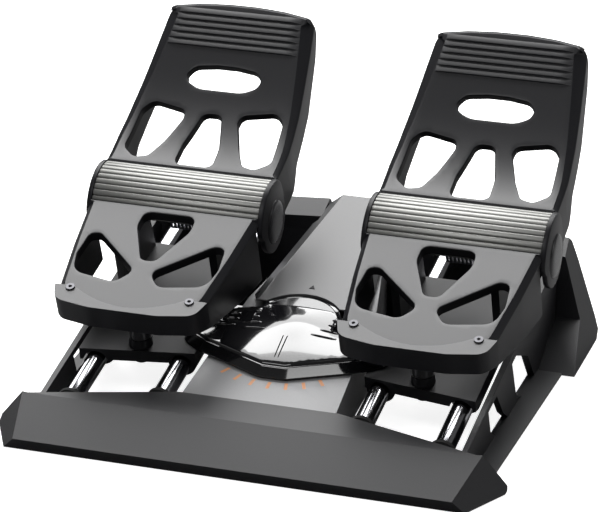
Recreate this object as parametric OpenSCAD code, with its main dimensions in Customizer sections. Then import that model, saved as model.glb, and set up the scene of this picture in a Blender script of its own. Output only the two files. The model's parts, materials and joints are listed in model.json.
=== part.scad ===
// Rudder pedals for a flight simulator: two pedals slide on inclined rails, joined by a central
// rocker, and each pedal has a hinged toe plate. Millimetres, +Z up, -Y towards the user.
// The origin is on the floor, in the middle of the object's box.

/* [Base] */
// Depth of the whole object, front bar to the top of the toe plates
depth = 361; // [350:1:375]
// Width across the rear wings at the floor
base_w = 380; // [370:1:400]
// Slope of the deck and of the rails
deck_tilt = 10.8; // [8:0.1:13]
// Height of the deck at the rudder pivot
pivot_z = 47.5; // [45:0.5:52]
// Distance of the rudder pivot ahead of the middle of the box
pivot_ahead = 27; // [22:1:32]
// Wall of the moulded covers
wall = 3; // [2.4:0.1:3.6]
// Thickness of the rubber feet
foot_t = 2.5; // [2:0.1:4]

/* [Front bar] */
// Half width of the front edge at the floor
bar_half = 170; // [165:1:176]
// Height of the crease at the front
bar_nose = 10; // [8:0.5:13]
// Reach of the bar at its ends, front to back
bar_reach = 40; // [34:1:46]
// Half width where the bar runs into the spine
bar_root_half = 60; // [58:1:64]

/* [Rails] */
// Diameter of a rail tube
rail_d = 15; // [14:0.5:16]
// Wall of a rail tube
rail_wall = 1.5; // [1:0.1:2]
// Half the distance between the two rails of a pedal
rail_half = 31.8; // [29.5:0.1:32.5]
// Depth of the rail axis below the deck
rail_drop = 10.2; // [9.8:0.1:11]
// Running clearance of a bush on its rail, on the radius
rail_fit = 0.05; // [0.02:0.01:0.09]
// Wall of a slide bush
bush_wall = 1.6; // [1.2:0.1:2]
// Length of a slide bush
bush_len = 14; // [10:1:18]

/* [Hump] */
// Height of the hump above the deck
hump_h = 13.8; // [12:0.2:15]
// Half width of its top at the back
hump_back_half = 16; // [13:1:19]
// Half width of its top at the rocker
hump_front_half = 34; // [32:1:35]

/* [Rear wings] */
// Height of the wing beside the hump
wing_h = 86; // [84:0.5:90]
// Fall of the wing's top edge towards its end
wing_fall = 11; // [8:0.5:14]
// Depth of the rear beam, front to back
beam_t = 38; // [34:1:40]
// Height of the ramp at the foot of a wing
ramp_h = 26; // [20:1:30]
// Reach of the ramp ahead of the beam
ramp_reach = 50; // [44:1:52]

/* [Side walls] */
// Distance of a side wall from the middle
side_x = 160; // [158:1:162]
// Width of the floor flange outside a side wall
flange_w = 15; // [12:1:17]

/* [Rocker] */
// Radius of the round rear rim of the rocker
rim_r = 34.6; // [32:0.2:36]
// Reach of the rocker's nose ahead of its pivot
nose_reach = 58; // [56:0.5:60]
// Half width across the rocker's wings
rocker_half = 80; // [78:1:84]
// Height of the skirt above the deck
skirt_h = 11; // [9:0.5:12]
// Radius of the drive pins about the pivot
drive_r = 72; // [71:0.5:73]
// Diameter of a drive pin
drive_pin_d = 5; // [4:0.5:5]
// Diameter of the roller on a drive pin
roller_d = 9; // [8.5:0.5:9]
// Diameter of the pivot post
post_d = 16; // [14:1:18]
// Running clearance of the pivot bush, on the radius
post_fit = 0.06; // [0.02:0.01:0.09]
// Turn of the rudder to each side, in degrees
rudder_turn = 25; // [20:1:26]

/* [Scale] */
// Number of scale marks
marks = 7; // [5:2:9]
// Radius at which the marks start
mark_r = 60.5; // [60:0.5:63]
// Length of a mark
mark_len = 8; // [6:0.5:9]
// Width of a mark
mark_w = 2.4; // [1.6:0.1:3]

/* [Pedals] */
// Distance between the two pedals' middles
pedal_pitch = 216; // [208:1:220]
// Distance of the toe hinge behind the middle of the box
hinge_y = 41; // [38:1:44]
// Height of the toe hinge
hinge_z = 107; // [104:1:110]
// Slope of the heel plate
heel_tilt = 18.8; // [17:0.1:20]
// Length of the heel plate from the hinge to its front
heel_len = 140; // [134:1:146]
// Half width of the heel plate at its front
heel_half = 52; // [50:0.5:54]
// Half width of the pedal at the hinge
hinge_half = 66.5; // [64:0.5:68]
// Half width of the toe plate near its top
toe_half = 56.5; // [54:0.5:60]
// Skin of the pedal plates
skin = 4; // [3:0.2:5]
// Wall of the pedal sides
side_wall = 5; // [4:0.2:6]
// Rise of the toe plate above the hinge
toe_rise = 121; // [112:1:126]

/* [Ribbed band] */
// Radius of the band about the hinge
band_r = 32; // [30.5:0.5:33]
// Wall of the band
band_wall = 3; // [2.4:0.2:3.6]
// Number of grooves in the band
band_grooves = 9; // [7:1:11]
// Width of a groove in the band
band_groove_w = 1.2; // [0.8:0.1:1.6]
// Depth of a groove in the band
band_groove_h = 0.8; // [0.5:0.1:1.2]

/* [Hinge] */
// Diameter of the toe hinge axle
axle_d = 8; // [7:0.5:9]
// Running clearance of the axle, on the radius
axle_fit = 0.05; // [0.02:0.01:0.09]
// Diameter of the round caps over the axle ends
cap_d = 34; // [30:1:36]
// Radius of the toe plate's knuckle
knuckle_r = 24; // [22:0.5:25]
// Travel of the toe brake in degrees
toe_travel = 18; // [12:1:18]

/* [Heel support] */
// Thickness of the heel support
support_t = 2.4; // [2:0.1:3]
// Height of its front wall
support_h = 19; // [16:0.5:21]
// Distance between its two screws
support_screw_pitch = 92; // [88:1:94]
// Head diameter of its screws
support_screw_d = 7; // [6:0.5:8]

/* [Hidden] */

over = 1;             // overrun of every cut
gap = 0.4;            // free gap between separate pieces
slip = 0.3;           // free gap between moving surfaces
round_steps = 6;      // steps of a rounded corner
fine = 64;            // steps of a full circle
front_y = -depth / 2;
back_y = depth / 2;
pivot_y = -pivot_ahead;
rail_r = rail_d / 2;
bush_r = rail_r + rail_fit + bush_wall;
pedal_x = pedal_pitch / 2;

// Positions along the deck are measured from the rudder pivot, u to the back and w upwards
function deck_u(y) = (y - pivot_y) / cos(deck_tilt);
function deck_z(y) = pivot_z + (y - pivot_y) * tan(deck_tilt);
hinge_u = (hinge_y - pivot_y) * cos(deck_tilt) + (hinge_z - pivot_z) * sin(deck_tilt);
hinge_w = (hinge_z - pivot_z) * cos(deck_tilt) - (hinge_y - pivot_y) * sin(deck_tilt);
module deck() {
    translate([0, pivot_y, pivot_z]) rotate([deck_tilt, 0, 0]) children();
}
// Puts an outline drawn in the plane of Y and Z across the object, from x to x + w
module across(x, w) {
    translate([x, 0, 0]) rotate([90, 0, 90]) linear_extrude(w) children();
}
module both() {
    children();
    mirror([1, 0, 0]) children();
}
module side(s) {
    if (s < 0) mirror([1, 0, 0]) children();
    else children();
}
module pedal() {
    translate([pedal_x, hinge_y, hinge_z]) children();
}

// Outline with a rounded corner at every point [x, y, radius]
function unit(v) = v / norm(v);
function corner(a, b, c, r) = let(
    p = [b[0], b[1]], u = unit([a[0], a[1]] - p), v = unit([c[0], c[1]] - p),
    half = acos(max(-1, min(1, u * v))) / 2, centre = p + unit(u + v) * r / sin(half),
    p0 = p + u * r / tan(half), p1 = p + v * r / tan(half),
    a0 = atan2(p0[1] - centre[1], p0[0] - centre[0]),
    a1 = atan2(p1[1] - centre[1], p1[0] - centre[0]),
    turn = a1 - a0 > 180 ? a1 - a0 - 360 : a1 - a0 < -180 ? a1 - a0 + 360 : a1 - a0)
    [for (k = [0:round_steps]) let(a2 = a0 + turn * k / round_steps) centre + r * [cos(a2), sin(a2)]];
function rounded(pts) = let(n = len(pts)) [for (i = [0:n - 1]) each pts[i][2] > 0
    ? corner(pts[(i + n - 1) % n], pts[i], pts[(i + 1) % n], pts[i][2]) : [[pts[i][0], pts[i][1]]]];
function mirrored(pts) = concat(pts,
    [for (i = [len(pts) - 1:-1:0]) [-pts[i][0], pts[i][1], pts[i][2]]]);
function bezier(a, b, c, d, n) = [for (k = [0:n]) let(t = k / n)
    pow(1 - t, 3) * a + 3 * pow(1 - t, 2) * t * b + 3 * (1 - t) * t * t * c + t * t * t * d];

// Screw with a round head and a plain shank, head up at the origin
module screw(head_d, shank_d, length) {
    head_h = shank_d * 0.6;
    cylinder(d = head_d, h = head_h, $fn = fine);
    translate([0, 0, -length]) cylinder(d = shank_d, h = length, $fn = fine);
}

// Base: front bar and spine

base_z = 0.8;                 // underside of the mouldings above the floor
bar_toe = 3.5;                // the bar's foot stands behind its nose
bar_corner = 3;               // bow of its back corners
bar_back_half = 168;
bar_back = front_y + bar_reach + bar_toe;
bar_sweep = 25;               // how far the bar's back edge runs back to the spine
root_y = bar_back + bar_sweep;
bar_lean = 34;                // lean of the bar's end faces
bar_splay = 27;               // turn of the bar's end faces in plan
beam_set = 65.5;
beam_front = back_y - beam_set;   // front of the rear beam
beam_back = beam_front + beam_t;
spine_front_half = 58;
spine_mid_half = 50;
spine_back_half = 28;
spine_mid_y = 13;
foot_d = 22;
foot_rim = 2;
post_r = post_d / 2;
post_flange_r = 13;
boss_wall = 4;
socket_depth = 14;
bar_rib = 25;
screw_boss_d = 9;
base_screw_d = 2.5;
base_screw_l = 9;
screw_gap = 0.1;              // a screw's hole is this much wider
far = 2 * depth;              // larger than the object

function bar_edge(x) = bar_back
    + (root_y - bar_back) * (bar_back_half - x) / (bar_back_half - bar_root_half);
rail_xs = [for (a = [-1, 1]) pedal_x + a * rail_half];
function rail_front(x) = deck_u(bar_edge(x) - socket_depth);
rail_back = deck_u(beam_front) + socket_depth;
foot_out = 150;
foot_mid = 60;
foot_wing = 172;
foot_back = 25;
foot_places = [[foot_out, front_y + foot_d], [foot_mid, front_y + foot_d], [foot_wing, beam_front - foot_d],
    [foot_wing, beam_front + foot_d], [foot_d, beam_front - foot_back]];

module bar_profile(inset) {
    polygon([[front_y + bar_toe + inset, inset > 0 ? -over : base_z], [front_y + inset, bar_nose - inset],
        [bar_back, deck_z(bar_back) - inset], [root_y - inset, deck_z(root_y - inset) - inset],
        [root_y - inset, inset > 0 ? -over : base_z]]);
}
module bar_plan(inset) {
    linear_extrude(far, center = true) polygon([[-base_w / 2, front_y - over], [base_w / 2, front_y - over],
        [base_w / 2 - inset, bar_back + bar_corner - inset],
        [bar_back_half - inset, bar_back - inset],
        [bar_root_half - inset, root_y - inset], [-bar_root_half + inset, root_y - inset],
        [-bar_back_half + inset, bar_back - inset], [-base_w / 2 + inset, bar_back + bar_corner - inset]]);
}
module bar_ends(inset) {
    both() translate([bar_half - inset, front_y, 0]) rotate([0, 0, -bar_splay]) rotate([0, -bar_lean, 0])
        translate([0, -far / 2, -far / 2]) cube(far);
}
module bar_body(inset) {
    difference() {
        intersection() {
            across(-base_w, 2 * base_w) bar_profile(inset);
            bar_plan(inset);
        }
        bar_ends(inset);
    }
}
module foot_columns() {
    for (p = foot_places) both() translate([p[0], p[1], 0])
        cylinder(d = foot_d + foot_rim, h = far, $fn = fine);
}
module rail_bosses(r, from, to) {
    for (x = rail_xs) both() deck() translate([x, from, -rail_drop]) rotate([-90, 0, 0])
        cylinder(r = r, h = to - from, $fn = fine);
}
module rail_sockets() {
    for (x = rail_xs) both() deck() translate([x, rail_front(x), -rail_drop]) rotate([-90, 0, 0])
        cylinder(r = rail_r + rail_fit, h = rail_back - rail_front(x), $fn = fine);
}
module foot_pockets() {
    for (p = foot_places) both() translate([p[0], p[1], -over])
        cylinder(d = foot_d + gap, h = foot_t + over, $fn = fine);
}
module front_bar() color([0.2, 0.2, 0.21]) {
    difference() {
        bar_body(0);
        difference() {
            bar_body(wall);
            foot_columns();
            rail_bosses(rail_r + boss_wall, deck_u(front_y), deck_u(root_y));
            for (x = [-1, 1]) translate([x * bar_rib - wall / 2, front_y, -over]) cube([wall, far, far]);
        }
        rail_sockets();
        foot_pockets();
    }
}

module spine_plan(inset) {
    polygon([[spine_front_half - inset, root_y + inset], [spine_mid_half - inset, spine_mid_y],
        [spine_back_half - inset, beam_front - inset], [-spine_back_half + inset, beam_front - inset],
        [-spine_mid_half + inset, spine_mid_y], [-spine_front_half + inset, root_y + inset]]);
}
module under_deck(w) {
    deck() translate([-far / 2, -far / 2, -far + w]) cube(far);
}
plate_t = 2;
spine_floor = foot_t + plate_t;
module spine() color([0.2, 0.2, 0.21]) {
    difference() {
        intersection() {
            translate([0, 0, spine_floor]) linear_extrude(far) spine_plan(0);
            under_deck(0);
        }
        difference() {
            intersection() {
                linear_extrude(far) spine_plan(wall);
                under_deck(-wall);
            }
            deck() translate([0, 0, -far]) cylinder(r = post_flange_r + wall + slip, h = far, $fn = fine);
            for (p = screw_posts) translate([p[0], p[1], 0]) cylinder(d = screw_boss_d, h = far, $fn = fine);
        }
        deck() translate([0, 0, -far]) cylinder(r = post_r + post_fit, h = 2 * far, $fn = fine);
        deck() translate([0, 0, -far - post_seat]) cylinder(r = post_flange_r + slip, h = far, $fn = fine);
        for (p = screw_posts) translate([p[0], p[1], 0])
            cylinder(d = base_screw_d + screw_gap, h = spine_floor + base_screw_l, $fn = fine);
        for (a = [0:marks - 1]) mark_place(a) translate([-mark_w / 2 - mark_gap, 0, -mark_t])
            cube([mark_w + 2 * mark_gap, mark_len + 2 * mark_gap, far]);
    }
}
base_head_d = 5.5;
screw_side = 40;
screw_in = 12;
screw_back = 16;
screw_posts = concat([for (x = [-1, 1]) for (y = [root_y + screw_in, spine_mid_y - screw_in]) [x * screw_side, y]],
    [for (x = [-1, 1]) [x * screw_back, beam_front - screw_in]]);
post_seat = 7;
mark_t = 0.6;
mark_gap = 0.05;
mark_step = 11.5;
module mark_place(i) {
    deck() rotate([0, 0, 180 + (i - (marks - 1) / 2) * mark_step]) translate([0, mark_r, 0]) children();
}
module scale_marks() color([0.85, 0.45, 0.15]) {
    for (a = [0:marks - 1]) mark_place(a) translate([-mark_w / 2, mark_gap, -mark_t])
        cube([mark_w, mark_len, mark_t]);
}

// Hump behind the rocker

hump_back_u = 175;
hump_front_u = 31;
hump_bevel_w = 12;
hump_bevel_h = 10;
hump_start_u = -10;
hump_lip_u = 21;              // front edge of the hump's top
hump_post_front = 60;
hump_post_back = 150;
pocket_u = 40.6;              // the rocker's wings swing under the hump up to here
pocket_front_w = 12.3;
pocket_back_w = 7.7;
function hump_half(u) = hump_back_half
    + (hump_front_half - hump_back_half) * (hump_back_u - u) / (hump_back_u - hump_front_u);
module hump_solid(inset) {
    u0 = hump_start_u;
    u1 = hump_back_u;
    difference() {
        linear_extrude(hump_h - inset) polygon([
            [hump_half(u0) + hump_bevel_w - inset, u0], [hump_half(u1) + hump_bevel_w - inset, u1 - inset],
            [-hump_half(u1) - hump_bevel_w + inset, u1 - inset], [-hump_half(u0) - hump_bevel_w + inset, u0]]);
        both() translate([hump_half(u1) - inset * 0.4, u1, hump_h])
            rotate([0, 0, atan((hump_front_half - hump_back_half) / (hump_back_u - hump_front_u))])
            rotate([0, atan(hump_bevel_h / hump_bevel_w), 0]) translate([0, -far / 2, -inset]) cube(far);
    }
}
module hump_cover() color([0.33, 0.33, 0.34]) {
    deck() difference() {
        hump_solid(0);
        difference() {
            translate([0, 0, -over]) hump_solid(wall - over);
            for (u = [hump_post_front, hump_post_back]) translate([0, u, 0]) cylinder(d = screw_boss_d, h = far, $fn = fine);
        }
        translate([0, 0, -over]) cylinder(r = rim_r + slip, h = far, $fn = 2 * fine);
        translate([-far / 2, -far + hump_lip_u, -over]) cube(far);
        rotate([90, 0, 90]) translate([0, 0, -far / 2]) linear_extrude(far) polygon([[0, -over], [0, pocket_front_w],
            [hump_lip_u, pocket_front_w], [pocket_u, pocket_back_w], [pocket_u, -over]]);
        both() rotate([-deck_tilt, 0, 0])
            translate([beam_mid_half - gap, beam_front - pivot_y - gap, -far / 2]) cube(far);
    }
}

// Rear beam and wings

beam_lean = 10.5;             // lean of the beam's front face over its height
panel_z = 68;                 // front edge of the wing's top panel
panel_slope = 18;
beam_mid_half = spine_back_half;
wing_rib_step = 43;
end_x = 190;                  // wing's end face at the floor
end_lean = 18.8;
top_edge_in = 6;
top_edge_y = beam_back - top_edge_in;
wing_crown = 1.5;
ramp_step = 2;
back_top = 3;                 // the back face leans: its points stand this far in
back_foot = 4;
back_low = 15;
back_high_z = 60;
back_mid_z = 16;
back_low_z = 5;
module beam_outline(inset, low) {
    polygon([[beam_front + inset, low], [beam_front + inset, ramp_h - ramp_step],
        [beam_front + beam_lean + inset, panel_z],
        [beam_front + beam_lean + inset, wing_h + hump_h], [beam_back - back_top - inset, wing_h + hump_h],
        [beam_back - inset, back_high_z], [beam_back - back_foot / 2 - inset, back_mid_z],
        [beam_back - back_foot - inset, back_low_z], [beam_back - back_low, low]]);
}
module ramp_outline(inset, low) {
    polygon([[beam_front - ramp_reach + inset * 2.4, low], [beam_front + over, ramp_h - inset],
        [beam_front + over + inset, low]]);
}
wing_slope = atan(wing_fall / (end_x - beam_mid_half));
module wing_top(inset) {
    translate([beam_mid_half, top_edge_y, wing_h + wing_crown - inset]) rotate([0, wing_slope, 0]) {
        for (a = [panel_slope, -40]) rotate([a, 0, 0]) translate([-far / 2, -far / 2, 0]) cube(far);
    }
}
module wing_end(inset) {
    translate([end_x - inset, 0, 0]) rotate([0, -end_lean, 0]) translate([0, -far / 2, -far / 2]) cube(far);
}
module wing_solid(inset) {
    low = inset > 0 ? -over : base_z;
    difference() {
        union() {
            across(beam_mid_half + inset, end_x) beam_outline(inset, low);
            across(side_x - side_t + inset, end_x) ramp_outline(inset, low);
        }
        wing_top(inset);
        wing_end(inset);
    }
}
module right_wing() color([0.2, 0.2, 0.21]) {
    difference() {
        wing_solid(0);
        difference() {
            wing_solid(wall);
            foot_columns();
            rail_bosses(rail_r + boss_wall, rail_back - socket_depth - over, rail_back + wall);
            for (i = [1, 2]) translate([beam_mid_half + i * wing_rib_step, 0, -over]) cube([wall, far, far]);
        }
        rail_sockets();
        foot_pockets();
    }
}
module left_wing() {
    mirror([1, 0, 0]) right_wing();
}
inlet_z = 30;
inlet_d = 9;
inlet_bore = 5;
inlet_rim = 2.5;
inlet_rim_t = 2.6;
inlet_in = 5;                 // its rim stands this far inside the back wall
inlet_l = 11;
module rear_beam() color([0.2, 0.2, 0.21]) {
    difference() {
        intersection() {
            across(-beam_mid_half, 2 * beam_mid_half) beam_outline(0, base_z);
            under_deck(0);
        }
        intersection() {
            across(-beam_mid_half + wall, 2 * beam_mid_half - 2 * wall) beam_outline(wall, -over);
            under_deck(-wall);
        }
        translate([0, beam_back - 2 * wall, inlet_z]) rotate([-90, 0, 0])
            cylinder(d = inlet_d, h = far, $fn = fine);
    }
}
module cable_inlet() color([0.12, 0.12, 0.13]) {
    translate([0, beam_back - wall - inlet_in, inlet_z]) rotate([-90, 0, 0]) difference() {
        union() {
            cylinder(d = inlet_d - screw_gap, h = inlet_l, $fn = fine);
            cylinder(d = inlet_d + 2 * inlet_rim, h = inlet_rim_t, $fn = fine);
        }
        translate([0, 0, -over]) cylinder(d = inlet_bore, h = far, $fn = fine);
    }
}

// Side walls with their windows and floor flanges

side_t = 4;
side_in = side_x - side_t;
side_front = bar_edge(side_in) + gap;
flange_t = 2.2;
flange_flare = 5;
side_top = -2;
// Each window's front and back ends and top, then its corners as shares of its length and height
window_floor = base_z + flange_t;
front_window = [-76.5, -22, 34];
front_window_share = [[0, 0.9], [0.4, 1], [0.75, 0.3], [1, 0], [0.38, 0], [0.13, 0.3]];
rear_window = [-12.5, 54, 43];
rear_window_share = [[0, 0.95], [0.165, 1], [0.68, 0.63], [1, 0], [0.43, 0], [0.23, 0.1]];
module window(place, shares) {
    across(0, far) polygon([for (s = shares) [place[0] + s[0] * (place[1] - place[0]),
        window_floor + s[1] * (place[2] - window_floor)]]);
}
module right_side_wall() color([0.16, 0.16, 0.17]) {
    difference() {
        intersection() {
            translate([0, 0, base_z]) linear_extrude(far) polygon([[side_in, side_front], [side_x, side_front],
                [side_x + side_t / 2, beam_front], [side_in, beam_front]]);
            under_deck(side_top);
        }
        window(front_window, front_window_share);
        window(rear_window, rear_window_share);
        wing_solid(0);
    }
    translate([0, 0, base_z]) linear_extrude(flange_t) polygon([[side_in, side_front], [side_x + flange_w, side_front],
        [side_x + flange_w + flange_flare, beam_front - ramp_reach - gap], [side_in, beam_front - ramp_reach - gap]]);
}
module left_side_wall() {
    mirror([1, 0, 0]) right_side_wall();
}

// Rails, bumpers, plate, feet and screws

module rail(x) {
    deck() translate([x, rail_front(x), -rail_drop]) rotate([-90, 0, 0]) difference() {
        cylinder(r = rail_r, h = rail_back - rail_front(x), $fn = fine);
        translate([0, 0, -over]) cylinder(r = rail_r - rail_wall, h = far, $fn = fine);
    }
}
module right_rails() color([0.75, 0.76, 0.78]) {
    for (x = rail_xs) rail(x);
}
module left_rails() color([0.75, 0.76, 0.78]) {
    mirror([1, 0, 0]) for (x = rail_xs) rail(x);
}
bumper_t = 3;
bumper_wall = 2.5;
bumper_gap = 3;
module bumper(x, u) {
    deck() translate([x, u, -rail_drop]) rotate([-90, 0, 0]) difference() {
        cylinder(r = rail_r + bumper_wall, h = bumper_t, $fn = fine);
        translate([0, 0, -over]) cylinder(r = rail_r + rail_fit, h = far, $fn = fine);
    }
}
module rail_bumpers() color([0.1, 0.1, 0.1]) {
    both() for (x = rail_xs) {
        bumper(x, deck_u(bar_edge(x)) + bumper_gap);
        bumper(x, deck_u(beam_front) - bumper_t - bumper_gap);
    }
}
module base_plate() color([0.5, 0.51, 0.53]) {
    difference() {
        translate([0, 0, foot_t]) linear_extrude(plate_t) spine_plan(0);
        for (p = screw_posts) translate([p[0], p[1], 0]) cylinder(d = base_screw_d + screw_gap, h = far,
            $fn = fine);
    }
}
module base_screws() color([0.7, 0.71, 0.73]) {
    for (p = screw_posts) translate([p[0], p[1], foot_t]) mirror([0, 0, 1])
        screw(base_head_d, base_screw_d, base_screw_l);
}
module rubber_feet() color([0.08, 0.08, 0.08]) {
    for (p = foot_places) both() translate([p[0], p[1], 0]) cylinder(d = foot_d, h = foot_t, $fn = fine);
}

// Pivot post, centring spring, sensor and electronics

post_top = 15.6;
flange_h = 4;
clip_drop = 2.4;
clip_t = 1.4;
clip_in = 1;
clip_out = 2.2;
clip_gap = 2;
module pivot_post() color([0.7, 0.71, 0.73]) {
    deck() {
        translate([0, 0, -post_seat - flange_h]) cylinder(r = post_flange_r, h = flange_h, $fn = fine);
        difference() {
            translate([0, 0, -post_seat - flange_h])
                cylinder(r = post_r, h = post_seat + flange_h + post_top, $fn = fine);
            translate([0, 0, post_top - clip_drop]) difference() {
                cylinder(r = post_r + over, h = clip_t, $fn = fine);
                translate([0, 0, -over]) cylinder(r = post_r - clip_in, h = far, $fn = fine);
            }
        }
    }
}
module post_clip() color([0.6, 0.6, 0.62]) {
    deck() translate([0, 0, post_top - clip_drop]) difference() {
        cylinder(r = post_r + clip_out, h = clip_t, $fn = fine);
        translate([0, 0, -over]) cylinder(r = post_r - clip_in, h = far, $fn = fine);
        translate([-clip_gap, 0, -over]) cube([2 * clip_gap, far, far]);
    }
}
sensor_r = 11;
sensor_h = 9;
plug = [6, 8, 4];
module rudder_sensor() color([0.1, 0.25, 0.35]) {
    deck() translate([0, 0, -post_seat - flange_h - sensor_h]) {
        cylinder(r = sensor_r, h = sensor_h, $fn = fine);
        translate([-plug[0] / 2, -sensor_r - over, over]) cube(plug);
    }
}
board_y = (spine_mid_y + beam_front) / 2;
board_l = 40;
board_w = 44;
board_post_h = 7;
board_post_d = 5.5;
board_screw_d = 5;
board_t = 1.6;
board_in = 5;
board_z = spine_floor + board_post_h;
chip = [14, 14, 1.8];
socket = [12, 7, 6];
module board_corners(z) {
    for (x = [-1, 1]) for (y = [-1, 1])
        translate([x * (board_w / 2 - board_in), board_y + y * (board_l / 2 - board_in), z]) children();
}
module control_board() color([0.1, 0.35, 0.2]) {
    translate([-board_w / 2, board_y - board_l / 2, board_z]) cube([board_w, board_l, board_t]);
    translate([-chip[0] / 2, board_y - chip[1] / 2, board_z + board_t]) cube(chip);
    translate([-socket[0] / 2, board_y + board_l / 2 - socket[1], board_z + board_t]) cube(socket);
    board_corners(spine_floor) cylinder(d = board_post_d, h = board_post_h, $fn = fine);
}
module board_screws() color([0.7, 0.71, 0.73]) {
    board_corners(board_z + board_t) cylinder(d = board_screw_d, h = board_t, $fn = fine);
}

// Coil of round wire around the Z axis, closed legs at both ends, as one unbroken tube
function coil_point(k, n, r, turns, pitch) = let(a = 360 * turns * k / n)
    [r * cos(a), r * sin(a), pitch * turns * k / n];
module tube(points, d, sides) {
    n = len(points);
    rings = [for (i = [0:n - 1]) let(
        t = unit(points[min(i + 1, n - 1)] - points[max(i - 1, 0)]),
        side = unit(cross(t, [0, 0, 1])), up = cross(side, t))
        each [for (j = [0:sides - 1]) let(a = 360 * j / sides) points[i] + d / 2 * (cos(a) * side + sin(a) * up)]];
    polyhedron(rings, concat([[for (j = [sides - 1:-1:0]) j]], [[for (j = [0:sides - 1]) (n - 1) * sides + j]],
        [for (i = [0:n - 2]) for (j = [0:sides - 1]) [i * sides + j, i * sides + (j + 1) % sides,
            (i + 1) * sides + (j + 1) % sides, (i + 1) * sides + j]]));
}
module coil(r, d, turns, pitch, start_leg, end_leg) {
    n = round(turns * 8);
    curl = [for (k = [0:n]) coil_point(k, n, r, turns, pitch)];
    first = curl[0] - [0, start_leg, 0];
    a = 360 * turns;
    last = curl[n] + end_leg * [-sin(a), cos(a), 0];
    tube(concat([first], curl, [last]), d, 6);
}
spring_d = 2.2;
spring_r = 21;
spring_turns = 5.25;
spring_pitch = 3.2;
spring_leg = 8;
spring_drop = wall + spring_d / 2 + gap;
module centring_spring() color([0.55, 0.56, 0.58]) {
    deck() translate([0, 0, -spring_pitch * spring_turns - spring_drop])
        coil(spring_r, spring_d, spring_turns, spring_pitch, spring_leg, spring_leg);
}

// Rocker

rocker_z = 1.6;
dome_top = 19;
dome_r = 400;
dome_u = -10;
rocker_t = 2.6;
// Its right edge from the nose to the back, in shares of its half width and of the nose's reach
rocker_share = [[0.125, -1], [0.775, -0.638], [0.975, -0.448], [1, -0.276], [0.9875, 0.103], [0.625, 0.362]];
rocker_edge = [for (s = rocker_share) [s[0] * rocker_half, s[1] * nose_reach]];
rear_lift = 0.5;              // the back slope starts this far above the skirt
function flip(p) = [for (i = [len(p) - 1:-1:0]) [-p[i][0], p[i][1]]];
rocker_plan = concat(rocker_edge, flip(rocker_edge));
dome_steps = 8;
dome_reach = 110;
module dome_cap(inset) {
    translate([0, dome_u, 0]) rotate_extrude($fn = fine) polygon(concat([[0, -over], [dome_reach, -over]],
        [for (k = [dome_steps:-1:0]) let(r = dome_reach * k / dome_steps)
            [r, dome_top - inset - pow(r, 2) / 2 / dome_r]]));
}
module bevel_cut(a, b, inset) {
    d = b - a;
    translate([a[0], a[1], skirt_h - inset * 0.4]) rotate([0, 0, atan2(d[1], d[0])]) rotate([45, 0, 0])
        translate([-far / 2, -far / 2, 0]) cube(far);
}
module rocker_solid(inset) {
    low = inset > 0 ? 0 : rocker_z;
    difference() {
        intersection() {
            translate([0, 0, low]) linear_extrude(far) offset(delta = -inset) polygon(rocker_plan);
            dome_cap(inset);
        }
        bevel_cut(rocker_plan[11], rocker_plan[0], inset);
        for (i = [0, 1, 2]) bevel_cut(rocker_plan[i], rocker_plan[i + 1], inset);
        for (i = [8, 9, 10]) bevel_cut(rocker_plan[i], rocker_plan[i + 1], inset);
        difference() {
            translate([0, 0, skirt_h + rear_lift - inset]) rotate([-14, 0, 0])
                translate([-far / 2, -far / 2, 0]) cube(far);
            translate([0, 0, -far]) cylinder(r = rim_r - inset, h = 2 * far, $fn = 2 * fine);
        }
    }
    intersection() {
        translate([0, 0, low]) cylinder(r = rim_r - inset, h = hump_h - low - inset, $fn = 2 * fine);
        dome_cap(inset);
    }
}
arm_z = 2.2;
arm_t = 4;
arm_half = 11;
hub_r = 15;
arm_screw_x = 30;
arm_end = 3;
arm_tip = 5;
hub_drop = 1.2;
hub_top = post_top - clip_drop - hub_drop;
pivot_wall = 2;
arm_screw_d = 2.4;
arm_screw_l = 8;
arm_head_d = 5;
arm_head_h = 0.5;
arm_boss_d = 7;
module rocker_cover() color([0.05, 0.05, 0.06]) {
    deck() difference() {
        rocker_solid(0);
        difference() {
            rocker_solid(rocker_t);
            for (x = [-1, 1]) translate([x * arm_screw_x, 0, arm_z + arm_t])
                cylinder(d = arm_boss_d, h = far, $fn = fine);
        }
        for (x = [-1, 1]) translate([x * arm_screw_x, 0, 0])
            cylinder(d = arm_screw_d, h = arm_z + arm_screw_l + over, $fn = fine);
    }
}
module rocker_arm() color([0.6, 0.61, 0.63]) {
    deck() difference() {
        union() {
            translate([0, 0, arm_z]) linear_extrude(arm_t) polygon([[-drive_r - arm_end, -arm_tip],
                [-hub_r, -arm_half], [hub_r, -arm_half], [drive_r + arm_end, -arm_tip], [drive_r + arm_end, arm_tip], [hub_r, arm_half],
                [-hub_r, arm_half], [-drive_r - arm_end, arm_tip]]);
            translate([0, 0, arm_z]) cylinder(r = hub_r, h = hub_top - arm_z, $fn = fine);
        }
        cylinder(r = post_r + post_fit + pivot_wall, h = far, center = true, $fn = fine);
        for (x = [-1, 1]) translate([x * drive_r, 0, 0]) cylinder(d = drive_pin_d, h = far, $fn = fine);
        for (x = [-1, 1]) translate([x * arm_screw_x, 0, 0]) cylinder(d = arm_screw_d, h = far, $fn = fine);
    }
}
module pivot_bush() color([0.75, 0.6, 0.3]) {
    deck() translate([0, 0, arm_z]) difference() {
        cylinder(r = post_r + post_fit + pivot_wall, h = hub_top - arm_z, $fn = fine);
        cylinder(r = post_r + post_fit, h = far, center = true, $fn = fine);
    }
}
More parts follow.
